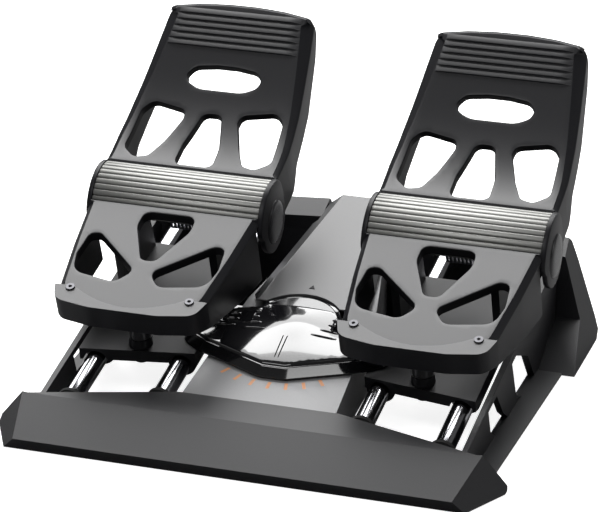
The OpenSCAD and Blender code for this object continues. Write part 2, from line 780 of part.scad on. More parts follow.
module rocker_screws() color([0.7, 0.71, 0.73]) {
    deck() for (x = [-1, 1]) translate([x * arm_screw_x, 0, arm_z]) mirror([0, 0, 1]) {
        cylinder(d = arm_head_d, h = arm_head_h, $fn = fine);
        translate([0, 0, -arm_screw_l]) cylinder(d = arm_screw_d, h = arm_screw_l, $fn = fine);
    }
}
roller_z = -2.2;
module drive_rollers() color([0.85, 0.85, 0.86]) {
    deck() for (x = [-1, 1]) translate([x * drive_r, 0, roller_z]) {
        cylinder(d = roller_d, h = arm_z - roller_z, $fn = fine);
        cylinder(d = drive_pin_d, h = arm_z + arm_t - roller_z, $fn = fine);
    }
}

// Carriages

sleeve_wall = 1.6;
sleeve_r = bush_r + sleeve_wall;
slide_w = -8.4;
slide_top = 1;
slide_in = 43;
slide_out = 43;
slide_front = -52;
slide_back = 96;
slot_gap = 1.1;               // the roller runs this far across and along its slot
slot_half = roller_d / 2 + slot_gap;
slot_end = drive_r + roller_d / 2 + slot_gap;
slide_slant = 12;             // the plate's front edge stands further back at its inner side
sleeve_in = 14;               // the sleeves start behind the plate's front edge
sleeve_out = 1;
column_u = -36;
column_r = 7.8;
cheek_x = 38;
cheek_t = 6;
boss_r = 12;
collar_flare = 1.5;
collar_fit = 0.5;
collar_low = -2;
collar_top = 8;
column_screw_r = 3;
column_head_r = 6;
column_head_h = 4;
cheek_foot = 2;
// Front edge of a cheek, in shares of the hinge's place over the deck
cheek_share = [[0.385, 0], [0.282, 1.53], [0.488, 1.53], [0.693, 0.694]];
module slide_sleeves(r, from, to) {
    for (x = rail_xs) deck() translate([x, from, -rail_drop]) rotate([-90, 0, 0])
        cylinder(r = r, h = to - from, $fn = fine);
}
module heel_at(x) {
    pedal() rotate([heel_tilt, 0, 0]) translate([x, 0, 0]) children();
}
heel_q = 22.6;
module below_heel(q) {
    pedal() rotate([heel_tilt, 0, 0]) translate([-far / 2, -far / 2, -far + q]) cube(far);
}
// Ring sector about the toe hinge; angles are measured from straight ahead, upwards
module hinge_ring(r0, r1, a0, a1, half) {
    pedal() rotate([90, 0, -90]) rotate([0, 0, a0]) rotate_extrude(angle = a1 - a0, $fn = 2 * fine)
        translate([r0, -half]) square([r1 - r0, 2 * half]);
}
module hinge_drum(r, half) {
    pedal() rotate([0, 90, 0]) cylinder(r = r, h = 2 * half, center = true, $fn = fine);
}
module right_carriage() color([0.11, 0.11, 0.12]) {
    difference() {
        union() {
            deck() translate([pedal_x, 0, slide_w]) linear_extrude(slide_top - slide_w)
                polygon([[-slide_in, slide_front + slide_slant], [slide_out, slide_front], [slide_out, slide_back],
                    [-slide_in, slide_back]]);
            slide_sleeves(sleeve_r, slide_front + sleeve_in, slide_back + sleeve_out);
            deck() translate([pedal_x, column_u, collar_low]) cylinder(r1 = column_r + collar_flare,
                r2 = column_r + collar_fit, h = collar_top - collar_low, $fn = fine);
            for (x = [-1, 1]) intersection() {
                translate([pedal_x + x * cheek_x - cheek_t / 2, pivot_y, pivot_z]) rotate([deck_tilt, 0, 0])
                    rotate([90, 0, 90]) linear_extrude(cheek_t) polygon(concat(
                        [for (s = cheek_share) [s[0] * hinge_u, s[1] * hinge_w]],
                        [[hinge_u - boss_r / 2, hinge_w], [hinge_u + boss_r / 2, hinge_w], [slide_back - cheek_foot, 0]]));
                below_heel(heel_q - skin);
            }
            for (x = [-1, 1]) translate([pedal_x + x * cheek_x, hinge_y, hinge_z]) rotate([0, 90, 0])
                cylinder(r = boss_r, h = cheek_t + over, center = true, $fn = fine);
        }
        slide_sleeves(bush_r, slide_front - over, slide_back + sleeve_out + over);
        deck() translate([0, -slot_half, roller_z - slip]) cube([slot_end, 2 * slot_half, far]);
        hinge_drum(axle_d / 2, 2 * pedal_x);
        hinge_ring(band_r - band_wall - band_gap, band_r + drum_gap, -4, 125, hinge_half);
        deck() translate([pedal_x, column_u, -far / 2]) cylinder(r = column_screw_r, h = far,
            $fn = fine);
    }
}
module left_carriage() {
    mirror([1, 0, 0]) right_carriage();
}
module right_slide_bushes() color([0.85, 0.85, 0.8]) {
    for (x = rail_xs) for (u = [slide_front + sleeve_in, slide_back - bush_len])
        deck() translate([x, u, -rail_drop]) rotate([-90, 0, 0]) difference() {
            cylinder(r = bush_r, h = bush_len, $fn = fine);
            translate([0, 0, -over]) cylinder(r = rail_r + rail_fit, h = far, $fn = fine);
        }
}
module left_slide_bushes() {
    mirror([1, 0, 0]) right_slide_bushes();
}
module right_heel_column() color([0.8, 0.81, 0.83]) {
    intersection() {
        deck() translate([pedal_x, column_u, 0]) {
            translate([0, 0, collar_top]) cylinder(r = column_r, h = far, $fn = fine);
            translate([0, 0, slide_w - over]) cylinder(r = column_screw_r, h = far, $fn = fine);
            translate([0, 0, slide_w - column_head_h]) cylinder(r = column_head_r, h = column_head_h, $fn = fine);
        }
        below_heel(heel_q - skin);
    }
}
module left_heel_column() {
    mirror([1, 0, 0]) right_heel_column();
}

// Heel plates, in the hinge frame: p up the plate to the hinge, q out of its face

// Outlines as rows of shares: of the width and the length, and for corners of the width again
function shaped(rows, w, l) = [for (s = rows) [s[0] * w, s[1] * l, s[2] * w]];
// Side view of the plate with its side walls, in shares of the heel's length
heel_flank_share = [[-1, 0.027], [-0.814, -0.05], [-0.429, -0.179], [-0.264, -0.221], [0, -0.271], [0.143, -0.271],
    [0.314, -0.157], [0.286, -0.086], [0, 0], [0, 0.286], [-1, 0.286]];
heel_flank = heel_len * heel_flank_share;
heel_taper = 5;               // the plate is this much wider before its front corners
heel_side_in = 0.5;
heel_shoulder = 24;
heel_reach = 20;
heel_front_bow = 4.5;         // the front edge's ends stand behind its middle
heel_corner = 9;
heel_bow = 40;
heel_plan = [[hinge_half - heel_side_in, far, 0], [hinge_half - heel_side_in, -heel_shoulder, heel_bow],
    [heel_half + heel_taper, heel_reach - heel_len, heel_bow],
    [heel_half, heel_front_bow - heel_len, heel_corner], [heel_half / 2, -heel_len, heel_bow]];
heel_hole_share = [[0.782, -0.379, 0.09], [0.827, -0.614, 0.225], [0.767, -0.743, 0.18], [0.256, -0.789, 0.12],
    [0.098, -0.686, 0.105]];
heel_mid_share = [[0.301, -0.214, 0.105], [0.308, -0.343, 0.3], [0.083, -0.6, 0.09]];
module heel_outline(inset) {
    offset(delta = -inset) polygon(rounded(mirrored(heel_plan)));
}
module heel_block(inset) {
    intersection() {
        heel_at(0) translate([0, 0, -far / 2]) linear_extrude(far / 2 + heel_q) heel_outline(inset);
        heel_at(-far / 2) rotate([90, 0, 90]) linear_extrude(far) polygon(inset > 0
            ? [[-far, -far], [far, -far], [far, far], [-far, far]] : heel_flank);
    }
}
module plate_holes(hole, mid) {
    both() polygon(rounded(hole));
    polygon(rounded(mirrored(mid)));
}
side_gap = 0.5;               // between the turning band and the side walls
band_gap = 0.8;
drum_gap = 0.6;
support_set = 16;             // its screws stand this far behind the plate's front edge
support_screw_p = heel_len - support_set;
support_shank_d = 3;
support_shank_l = 8;
support_head_h = 1.2;
support_hex = 2.6;
module right_heel_plate() color([0.25, 0.25, 0.26]) {
    difference() {
        heel_block(0);
        intersection() {
            heel_block(side_wall);
            below_heel(heel_q - skin);
        }
        heel_at(0) linear_extrude(far) plate_holes(shaped(heel_hole_share, hinge_half, heel_len),
            shaped(heel_mid_share, hinge_half, heel_len));
        hinge_drum(knuckle_r + side_gap, hinge_half + 2 * side_wall);
        hinge_ring(0, band_r + band_gap, -2, 126, hinge_half + side_wall);
        hinge_ring(knuckle_r - over, far, 120, 222, hinge_half + 3 * side_wall);
        hinge_drum(band_r + drum_gap, hinge_half - side_wall - side_gap);
        support_screws(0) cylinder(d = support_shank_d, h = far, $fn = fine);
    }
}
module left_heel_plate() {
    mirror([1, 0, 0]) right_heel_plate();
}
support_p = support_screw_p - support_head_h - over;
crescent_t = 1;
crescent_half = 56;
crescent_in = 2.5;            // its front tip stands behind the plate's front edge
crescent_sag = 26;
crescent_steps = 8;
module support_screws(q) {
    for (x = [-1, 1]) heel_at(x * support_screw_pitch / 2) translate([0, -support_screw_p, q]) children();
}
module support_area(grow) {
    intersection() {
        offset(delta = grow) heel_outline(0);
        translate([-far / 2, -far - support_p]) square(far);
    }
}
module right_heel_support() color([0.13, 0.13, 0.14]) {
    difference() {
        heel_at(0) {
            translate([0, 0, heel_q + crescent_t - support_h]) linear_extrude(support_h - crescent_t) difference() {
                support_area(support_t);
                heel_outline(0);
            }
            translate([0, 0, heel_q]) linear_extrude(crescent_t) difference() {
                support_area(support_t);
                polygon(concat([for (k = [-crescent_steps:crescent_steps]) let(t = k / crescent_steps)
                    [t * crescent_half, crescent_in - heel_len + crescent_sag * t * t]],
                    [[crescent_half, 0], [-crescent_half, 0]]));
            }
        }
        support_screws(0) cylinder(d = support_shank_d, h = far, $fn = fine);
    }
}
module left_heel_support() {
    mirror([1, 0, 0]) right_heel_support();
}
module right_heel_screws() color([0.3, 0.3, 0.31]) {
    support_screws(heel_q + crescent_t) difference() {
        union() {
            cylinder(d = support_screw_d, h = support_head_h, $fn = fine);
            translate([0, 0, -support_shank_l]) cylinder(d = support_shank_d, h = support_shank_l, $fn = fine);
        }
        cylinder(d = support_hex, h = far, $fn = 6);
    }
}
module left_heel_screws() {
    mirror([1, 0, 0]) right_heel_screws();
}

// Toe hinge, brake sensor and toe plates

flange_out = 3.5;             // the flanges stand out from the plate's sides
flange_half = hinge_half + flange_out;
flange_in = 6.5;
module right_axle() color([0.7, 0.71, 0.73]) {
    hinge_drum(axle_d / 2, flange_half - side_gap);
}
module left_axle() {
    mirror([1, 0, 0]) right_axle();
}
brake_sensor_r = 10;
brake_sensor_h = 11;
module right_brake_sensor() color([0.1, 0.25, 0.35]) {
    translate([pedal_x - cheek_x - cheek_t / 2 - side_gap, hinge_y, hinge_z]) rotate([0, -90, 0]) difference() {
        union() {
            cylinder(r = brake_sensor_r, h = brake_sensor_h, $fn = fine);
            translate([-brake_sensor_r - plug[0] / 2, -plug[1] / 2, over]) cube(plug);
        }
        translate([0, 0, -over]) cylinder(d = axle_d, h = far, $fn = fine);
    }
}
module left_brake_sensor() {
    mirror([1, 0, 0]) right_brake_sensor();
}
toe_back = back_y - hinge_y;
band_top = 100.7;
band_low = 4;
flange_low = 0;
// The plate's face from the band to its crown, seen from the side, in shares of its depth and rise
toe_curve_share = [[0.444, 0.397], [0.717, 0.76], [0.946, 1]];
toe_steps = 12;
function toe_point(s) = [s[0] * toe_back, s[1] * toe_rise];
toe_curve = bezier([-band_r * cos(band_top), band_r * sin(band_top)], toe_point(toe_curve_share[0]),
    toe_point(toe_curve_share[1]), toe_point(toe_curve_share[2]), toe_steps);
toe_under = [for (i = [0:len(toe_curve) - 1]) let(a = toe_curve[max(i - 1, 0)],
    b = toe_curve[min(i + 1, len(toe_curve) - 1)], t = unit(b - a)) toe_curve[i] + skin * [t[1], -t[0]]];
toe_rear_share = [[0.978, 0.993], [1, 0.942], [1, 0.876], [0.932, 0.702], [0.724, 0.397], [0.452, 0.182],
    [0.38, 0.025], [0.158, -0.066], [0, 0]];
toe_flank = concat(toe_curve, [for (s = toe_rear_share) toe_point(s)]);
toe_inner_share = [[0.918, 0.826], [2, 0.744], [2, -1], [0, -1]];
chord = 35;
toe_len = norm(toe_point(toe_curve_share[2]));
// Right edge of the face: shares of the hinge's and the crown's half width, of the length, and corners
toe_plan_share = [[1.03, 0, -0.335, 0], [1.035, 0, 0.3, 0.335], [1.005, 0, 0.495, 0.335], [0, 1.095, 0.8, 0.447],
    [0, 1.045, 0.965, 0.045], [0, 0.52, 0.986, 0.335], [0, 0.001, 0.997, 0]];
toe_plan = [for (s = toe_plan_share) [s[0] * hinge_half + s[1] * toe_half, s[2] * toe_len, s[3] * toe_len]];
toe_mid_share = [[0.226, 0.03, 0.09], [0.218, 0.15, 0.3], [0.105, 0.343, 0.09]];
toe_hole_share = [[0.331, 0.307, 0.09], [0.346, 0.352, 0.09], [0.752, 0.388, 0.12], [0.857, 0.335, 0.15],
    [0.887, 0.1, 0.12], [0.722, 0.047, 0.09], [0.571, 0.064, 0.09], [0.451, 0.168, 0.3]];
toe_lens_share = [[0.271, 0.468, 0.3], [0.421, 0.5, 0.12], [0.451, 0.535, 0.06], [0.376, 0.575, 0.12],
    [0.12, 0.588, 0.3]];
module toe_area(inset) {
    offset(delta = -inset) polygon(rounded(mirrored(toe_plan)));
}
module chord_prism() {
    pedal() rotate([chord, 0, 0]) translate([0, 0, -far / 2]) linear_extrude(far) children();
}
// Openings are placed by their distance s up the plate from the band
module toe_cut(s0, t) {
    point = toe_at(t);
    d = toe_at(t + 0.05) - toe_at(t - 0.05);
    pedal() translate([0, point[0], point[1]]) rotate([atan2(d[1], d[0]), 0, 0]) translate([0, -s0, -2 * skin])
        linear_extrude(5 * skin) children();
}
hole_share = 0.206;
hole_place = 0.216;
lens_share = 0.528;
lens_place = 0.573;
function toe_at(t) = let(k = t * (len(toe_curve) - 1), i = min(floor(k), len(toe_curve) - 2), f = k - i)
    toe_curve[i] * (1 - f) + toe_curve[i + 1] * f;
module right_toe_plate() color([0.25, 0.25, 0.26]) {
    difference() {
        union() {
            difference() {
                intersection() {
                    chord_prism() toe_area(0);
                    pedal() rotate([90, 0, 90]) translate([0, 0, -far / 2]) linear_extrude(far) polygon(toe_flank);
                }
                intersection() {
                    chord_prism() toe_area(side_wall);
                    pedal() rotate([90, 0, 90]) translate([0, 0, -far / 2]) linear_extrude(far)
                        polygon(concat([[-over, 0], toe_under[0] - [over, 0]], toe_under,
                            [for (s = toe_inner_share) toe_point(s) - [over, 0]]));
                }
                hinge_drum(band_r, hinge_half - side_gap);
            }
            for (x = [-1, 1]) pedal() translate([x * (hinge_half - flange_in + flange_half) / 2, 0, 0])
                rotate([0, 90, 0])
                    cylinder(r = knuckle_r, h = flange_out + flange_in, center = true, $fn = fine);
            difference() {
                hinge_ring(0, band_r + side_gap, flange_low, band_top, flange_half);
                hinge_drum(far, hinge_half - side_gap);
            }
        }
        hinge_drum(axle_d / 2 + axle_fit, flange_half + over);
        toe_cut(hole_share * toe_len, hole_place) plate_holes(shaped(toe_hole_share, hinge_half, toe_len),
            shaped(toe_mid_share, hinge_half, toe_len));
        toe_cut(lens_share * toe_len, lens_place)
            polygon(rounded(mirrored(shaped(toe_lens_share, hinge_half, toe_len))));
    }
}
module left_toe_plate() {
    mirror([1, 0, 0]) right_toe_plate();
}
band_step = 8.6;
module right_band() color([0.45, 0.46, 0.47]) {
    difference() {
        hinge_ring(band_r - band_wall, band_r, band_low, band_top, hinge_half - side_gap);
        for (i = [0:band_grooves - 1]) pedal() rotate([-band_top + 6 + i * band_step, 0, 0])
            translate([-hinge_half, -band_r - over, -band_groove_w / 2])
                cube([2 * hinge_half, over + band_groove_h, band_groove_w]);
    }
}
module left_band() {
    mirror([1, 0, 0]) right_band();
}
cap_t = 2;
module right_axle_caps() color([0.3, 0.3, 0.31]) {
    for (x = [-1, 1]) pedal() rotate([0, x * 90, 0]) translate([0, 0, flange_half])
        cylinder(d = cap_d, h = cap_t, $fn = fine);
}
module left_axle_caps() {
    mirror([1, 0, 0]) right_axle_caps();
}
toe_spring_r = 14;
toe_spring_turns = 6.25;
toe_spring_pitch = 3;
toe_spring_leg = 24.4;
toe_spring_hook = 10;
module right_toe_spring() color([0.55, 0.56, 0.58]) {
    pedal() rotate([90, 0, 90]) rotate([0, 0, 180]) translate([0, 0, -toe_spring_pitch * toe_spring_turns / 2])
        coil(toe_spring_r, spring_d, toe_spring_turns, toe_spring_pitch, toe_spring_leg, toe_spring_hook);
}
module left_toe_spring() {
    mirror([1, 0, 0]) right_toe_spring();
}

front_bar();
spine();
hump_cover();
scale_marks();
rear_beam();
left_wing();
right_wing();
left_side_wall();
right_side_wall();
left_rails();
right_rails();
rail_bumpers();
base_plate();
base_screws();
rubber_feet();
pivot_post();
centring_spring();
post_clip();
rudder_sensor();
control_board();
board_screws();
cable_inlet();
rocker_cover();
rocker_arm();
pivot_bush();
rocker_screws();
drive_rollers();
left_carriage();
left_slide_bushes();
left_heel_column();
left_heel_plate();
left_heel_support();
left_heel_screws();
left_axle();
left_brake_sensor();
right_carriage();
right_slide_bushes();
right_heel_column();
right_heel_plate();
right_heel_support();
right_heel_screws();
right_axle();
right_brake_sensor();
left_toe_plate();
left_band();
left_axle_caps();
left_toe_spring();
right_toe_plate();
right_band();
right_axle_caps();
right_toe_spring();
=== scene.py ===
import json
import math

import bmesh
import bpy
import numpy as np
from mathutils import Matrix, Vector
from mathutils.geometry import delaunay_2d_cdt


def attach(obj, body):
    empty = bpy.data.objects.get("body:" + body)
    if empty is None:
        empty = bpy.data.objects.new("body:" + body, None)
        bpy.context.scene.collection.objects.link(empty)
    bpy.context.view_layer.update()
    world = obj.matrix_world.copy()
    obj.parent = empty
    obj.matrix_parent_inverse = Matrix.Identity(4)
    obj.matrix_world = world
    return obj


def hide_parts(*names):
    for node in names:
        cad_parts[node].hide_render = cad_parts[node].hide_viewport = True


# x runs to the right, y to the back and z up. The frame is in metres.
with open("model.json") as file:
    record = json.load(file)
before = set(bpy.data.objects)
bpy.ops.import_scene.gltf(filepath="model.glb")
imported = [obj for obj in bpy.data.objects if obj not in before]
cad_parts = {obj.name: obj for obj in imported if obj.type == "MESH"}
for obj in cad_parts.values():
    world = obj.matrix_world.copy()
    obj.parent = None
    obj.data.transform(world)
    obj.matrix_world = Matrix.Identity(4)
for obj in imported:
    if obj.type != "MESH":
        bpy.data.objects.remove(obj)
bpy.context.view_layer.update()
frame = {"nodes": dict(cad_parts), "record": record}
print("frame loaded:", len(frame["nodes"]), "nodes")

behaviour = frame["record"]["behaviour"]
joints = {row["name"]: row for row in behaviour["joints"]}
bodyOf = {node: body for body, nodes in behaviour["bodies"].items() for node in nodes}
slotOf = {row["node"]: row["material_slot"] for row in frame["record"]["subparts"]}

# Camera, fitted to the photograph's parallel rails and mirrored corners

cameraSettings = {
    "place": (0.6868, -2.1365, 1.0349),
    "azimuth": 17.948,
    "elevation": 22.606,
    "lens": 198.0,
    "sensor": 36.0,
    "sight": 40,
}
camera = bpy.data.objects.new("camera", bpy.data.cameras.new("camera"))
bpy.context.collection.objects.link(camera)
camera.location = cameraSettings["place"]
camera.rotation_euler = (
    math.radians(90 - cameraSettings["elevation"]), 0, math.radians(cameraSettings["azimuth"]))
camera.data.lens = cameraSettings["lens"]
camera.data.sensor_width = cameraSettings["sensor"]
camera.data.clip_end = cameraSettings["sight"]
bpy.context.scene.camera = camera
bpy.context.scene.view_settings.view_transform = "Standard"

# Materials: a base colour with a fine grain, which also lifts the surface where bump is given

grain = {"scale": 900, "detail": 3, "height": 0.0001, "lighter": 1.12, "lift": 0.004}


def makeMaterial(name, look):
    material = bpy.data.materials.new(name)
    material.use_nodes = True
    nodes, links = material.node_tree.nodes, material.node_tree.links
    shader = nodes["Principled BSDF"]
    shader.inputs["Roughness"].default_value = look["rough"]
    shader.inputs["Metallic"].default_value = look.get("metal", 0)
    shader.inputs["Specular IOR Level"].default_value = look.get("spec", 0.5)
    shader.inputs["Coat Weight"].default_value = look.get("coat", 0)
    shader.inputs["Coat Roughness"].default_value = look.get("coatRough", 0)
    coords = nodes.new("ShaderNodeTexCoord")
    noise = nodes.new("ShaderNodeTexNoise")
    noise.inputs["Scale"].default_value = look.get("scale", grain["scale"])
    noise.inputs["Detail"].default_value = grain["detail"]
    links.new(coords.outputs["Object"], noise.inputs["Vector"])
    tint = nodes.new("ShaderNodeMix")
    tint.data_type = "RGBA"
    light = [v * grain["lighter"] + grain["lift"] for v in look["color"]]
    tint.inputs["A"].default_value = (*look["color"], 1)
    tint.inputs["B"].default_value = (*light, 1)
    links.new(noise.outputs["Fac"], tint.inputs["Factor"])
    links.new(tint.outputs["Result"], shader.inputs["Base Color"])
    if "bump" in look:
        bump = nodes.new("ShaderNodeBump")
        bump.inputs["Strength"].default_value = look["bump"]
        bump.inputs["Distance"].default_value = grain["height"]
        links.new(noise.outputs["Fac"], bump.inputs["Height"])
        links.new(bump.outputs["Normal"], shader.inputs["Normal"])
    return material


looks = {
    "dark_plastic": {"color": [0.008, 0.008, 0.01], "rough": 0.42, "spec": 0.3, "bump": 0.15},
    "deck_plastic": {"color": [0.05, 0.05, 0.052], "rough": 0.34, "bump": 0.1},
    # painted light: a lighter copy of the deck plastic, used on the spine
    "lit_deck_plastic": {"color": [0.2, 0.2, 0.205], "rough": 0.4, "bump": 0.1},
    "orange_print": {"color": [0.5, 0.2, 0.07], "rough": 0.5},
    "tube_steel": {"color": [0.42, 0.42, 0.44], "rough": 0.14, "metal": 1},
    "rubber": {"color": [0.012, 0.012, 0.012], "rough": 0.8},
    "plate_steel": {"color": [0.35, 0.35, 0.37], "rough": 0.35, "metal": 1},
    "screw_steel": {"color": [0.07, 0.07, 0.075], "rough": 0.3, "metal": 1},
    "spring_steel": {"color": [0.3, 0.3, 0.32], "rough": 0.3, "metal": 1},
    "sensor_plastic": {"color": [0.02, 0.04, 0.07], "rough": 0.5},
    "board": {"color": [0.01, 0.09, 0.03], "rough": 0.4},
    "gloss_black": {
        "color": [0.004, 0.004, 0.005], "rough": 0.1, "coat": 0.8, "coatRough": 0.03, "scale": 60},
    "bush_bronze": {"color": [0.45, 0.3, 0.12], "rough": 0.3, "metal": 1},
    # painted shade: the bushes at the rail ends are kept near black, as they lie in shade
    "bush_plastic": {"color": [0.01, 0.01, 0.011], "rough": 0.5},
    "black_plastic": {"color": [0.008, 0.008, 0.01], "rough": 0.45, "spec": 0.3, "bump": 0.1},
    "column_steel": {"color": [0.03, 0.03, 0.032], "rough": 0.3},
    "pedal_plastic": {"color": [0.009, 0.009, 0.011], "rough": 0.34, "spec": 0.42, "bump": 0.12},
    # painted light: a lighter copy of the heel support's plastic for its upward faces
    "lit_support_top": {"color": [0.06, 0.06, 0.062], "rough": 0.4, "bump": 0.12},
    # painted shade: a darker, less glossy copy of the pedal plastic for the chamfer strips and the flanges,
    # which lie in shade
    "chamfer": {"color": [0.007, 0.007, 0.009], "rough": 0.4, "spec": 0.22, "bump": 0.08},
    # painted shade: a darker, less glossy copy of the pedal plastic for the pedals' side walls
    "shaded_side_plastic": {"color": [0.007, 0.007, 0.009], "rough": 0.42, "spec": 0.2, "bump": 0.12},
    # painted shade: a near-black matte copy of the plastic for the plates' openings and undersides, where
    # shade falls; the hump mark, which is black, takes it too
    "hollow_shade_and_black_mark": {"color": [0.004, 0.004, 0.005], "rough": 0.55, "spec": 0.15},
    "band_metal": {"color": [0.28, 0.28, 0.27], "rough": 0.5, "metal": 1},
    "cap_plastic": {"color": [0.02, 0.02, 0.022], "rough": 0.26},
}
materials = {name: makeMaterial(name, look) for name, look in looks.items()}
for name, node in frame["nodes"].items():
    node.data.materials.clear()
    node.data.materials.append(materials[slotOf[name]])
print("materials:", len(materials))

# Pieces from points. Lengths are in millimetres here, and metres in the meshes.

mm = 0.001
pieceForm = {"join": 1e-6, "sharp": 35, "bevelSteps": 3, "bevelAngle": 25}  # metres and degrees


def smoothFaces(mesh, sharpAngle):
    mesh.polygons.foreach_set("use_smooth", np.ones(len(mesh.polygons), bool))
    mesh.set_sharp_from_angle(angle=math.radians(sharpAngle))


def bevelEdges(piece, width, steps, angle):
    bevel = piece.modifiers.new("bevel", "BEVEL")
    bevel.width = width * mm
    bevel.segments = steps
    bevel.limit_method = "ANGLE"
    bevel.angle_limit = math.radians(angle)
    bevel.harden_normals = True


def meshPiece(name, points, faces, settings, looksOfFaces=None):
    # Doubles are merged, open rings closed unless the piece gets a wall, and every face turned outwards
    mesh = bpy.data.meshes.new(name)
    mesh.from_pydata((np.reshape(points, (-1, 3)) * mm).tolist(), [], faces)
    for look in settings["looks"]:
        mesh.materials.append(materials[look])
    if looksOfFaces is not None:
        mesh.polygons.foreach_set("material_index", np.array(looksOfFaces, np.int32))
    work = bmesh.new()
    work.from_mesh(mesh)
    bmesh.ops.remove_doubles(work, verts=work.verts, dist=pieceForm["join"])
    if "wall" not in settings:
        bmesh.ops.holes_fill(work, edges=[e for e in work.edges if e.is_boundary], sides=0)
    bmesh.ops.recalc_face_normals(work, faces=work.faces)
    work.to_mesh(mesh)
    work.free()
    mesh.validate()
    mesh.update()
    smoothFaces(mesh, settings.get("sharp", pieceForm["sharp"]))
    made = bpy.data.objects.new(name, mesh)
    bpy.context.collection.objects.link(made)
    if "wall" in settings:
        solid = made.modifiers.new("wall", "SOLIDIFY")
        solid.thickness = settings["wall"] * mm
        solid.offset = -1
    if "bevel" in settings:
        bevelEdges(made, settings["bevel"], pieceForm["bevelSteps"], pieceForm["bevelAngle"])
    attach(made, settings["body"])
    if "replaces" in settings:
        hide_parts(*settings["replaces"])


def ringFaces(rows, columns, copies=1):
    # The quads between neighbouring rings of a grid of rings, for a number of such grids in a row
    copy, i, j = np.meshgrid(np.arange(copies), np.arange(rows - 1), np.arange(columns), indexing="ij")
    first = (copy * rows + i) * columns
    a, b = first + j, first + (j + 1) % columns
    return np.stack([a, b, b + columns, a + columns], -1).reshape(-1, 4).tolist()


def tubeFaces(rows, columns, copies=1):
    # The same, with a lid on the first and on the last ring of each grid
    ends = columns * (rows * np.arange(copies)[:, None] + np.array([0, rows - 1]))
    lids = ends.reshape(-1, 1) + np.arange(columns)
    return ringFaces(rows, columns, copies) + lids.tolist()


# Outlines: closed loops of points (x, y), or of corners (x, y, radius)


def unit(v):
    return v / np.linalg.norm(v, axis=-1, keepdims=True)


def roundLoop(corners, steps=6):
    # Each corner becomes an arc of its radius that touches both of its sides
    out = []
    spots = np.array([corner[:2] for corner in corners], float)
    for i, (x, y, r) in enumerate(corners):
        if r <= 0:
            out.append(spots[i:i + 1])
            continue
        u = unit(spots[i - 1] - spots[i])
        v = unit(spots[(i + 1) % len(corners)] - spots[i])
        half = math.acos(max(-1, min(1, float(u @ v)))) / 2
        centre = spots[i] + unit(u + v) * r / math.sin(half)
        first = spots[i] + u * r / math.tan(half) - centre
        last = spots[i] + v * r / math.tan(half) - centre
        a0 = math.atan2(first[1], first[0])
        turn = (math.atan2(last[1], last[0]) - a0 + math.pi) % (2 * math.pi) - math.pi
        a = a0 + turn * np.arange(steps + 1) / steps
        out.append(centre + r * np.stack([np.cos(a), np.sin(a)], 1))
    return np.vstack(out)


def runLength(line):
    # The length along a line up to each of its points
    return np.concatenate([[0], np.cumsum(np.linalg.norm(np.diff(line, axis=0), axis=1))])


def evenLoop(loop, step):
    # A closed loop's points again, about step apart
    closed = np.vstack([loop, loop[:1]])
    run = runLength(closed)
    count = int(round(run[-1] / step))
    at = np.arange(count) * run[-1] / count
    return np.stack([np.interp(at, run, closed[:, k]) for k in (0, 1)], 1)


def evenLine(line, count):
    # An open line's points again, count of them at equal steps
    run = runLength(line)
    at = np.linspace(0, run[-1], count)
    return np.stack([np.interp(at, run, line[:, k]) for k in (0, 1)], 1)


def counterclockwise(loop):
    # Turned round when its area, half the sum of x y' - x' y, is negative
    x, y = loop[:, 0], loop[:, 1]
    turned = np.sum(x * np.roll(y, -1) - y * np.roll(x, -1)) < 0
    return loop[::-1].copy() if turned else loop


def inward(loop, distance):
    # Every point of a counterclockwise loop moved along its normal, to the inside when distance > 0
    t = unit(np.roll(loop, -1, 0) - np.roll(loop, 1, 0))
    return loop + np.stack([-t[:, 1], t[:, 0]], 1) * np.reshape(distance, (-1, 1))


tiny = 1e-12  # for level edges, which would divide by nothing


def insideLoop(points, loop):
    # True where a ray to the right of the point crosses the loop an odd number of times
    x, y = points[:, 0][:, None], points[:, 1][:, None]
    x0, y0 = loop[:, 0][None], loop[:, 1][None]
    x1, y1 = np.roll(loop[:, 0], -1)[None], np.roll(loop[:, 1], -1)[None]
    crossing = ((y0 > y) != (y1 > y)) & (x < (x1 - x0) * (y - y0) / (y1 - y0 + tiny) + x0)
    return crossing.sum(1) % 2 == 1


def insideRegion(points, outer, holes):
    # True inside the outer loop and outside every hole
    keep = insideLoop(points, outer)
    for loop in holes:
        keep &= ~insideLoop(points, loop)
    return keep


def mirroredLoop(corners):
    # The right half's corners, then their mirror images in reverse
    return corners + [(-x, y, r) for x, y, r in reversed(corners)]


def bothHoles(corners):
    # The same opening on both sides of the middle
    return [corners, [(-x, y, r) for x, y, r in corners]]


def taper(values, low, high):
    # 0 below low, 1 above high and a straight slope between them
    return np.clip((values - low) / (high - low), 0, 1)


def bezierPoints(a, b, c, d, t):
    # P(t) = (1-t)^3 a + 3 (1-t)^2 t b + 3 (1-t) t^2 c + t^3 d
    return (1 - t) ** 3 * a + 3 * (1 - t) ** 2 * t * b + 3 * (1 - t) * t ** 2 * c + t ** 3 * d


flatGrid = {
    "clear": 0.6,  # part of a step that is kept free beside the loops
    "sliver": 0.02,  # twice the area of the smallest triangle that is kept
    "same": 1e-7,  # points closer than this are one point
}


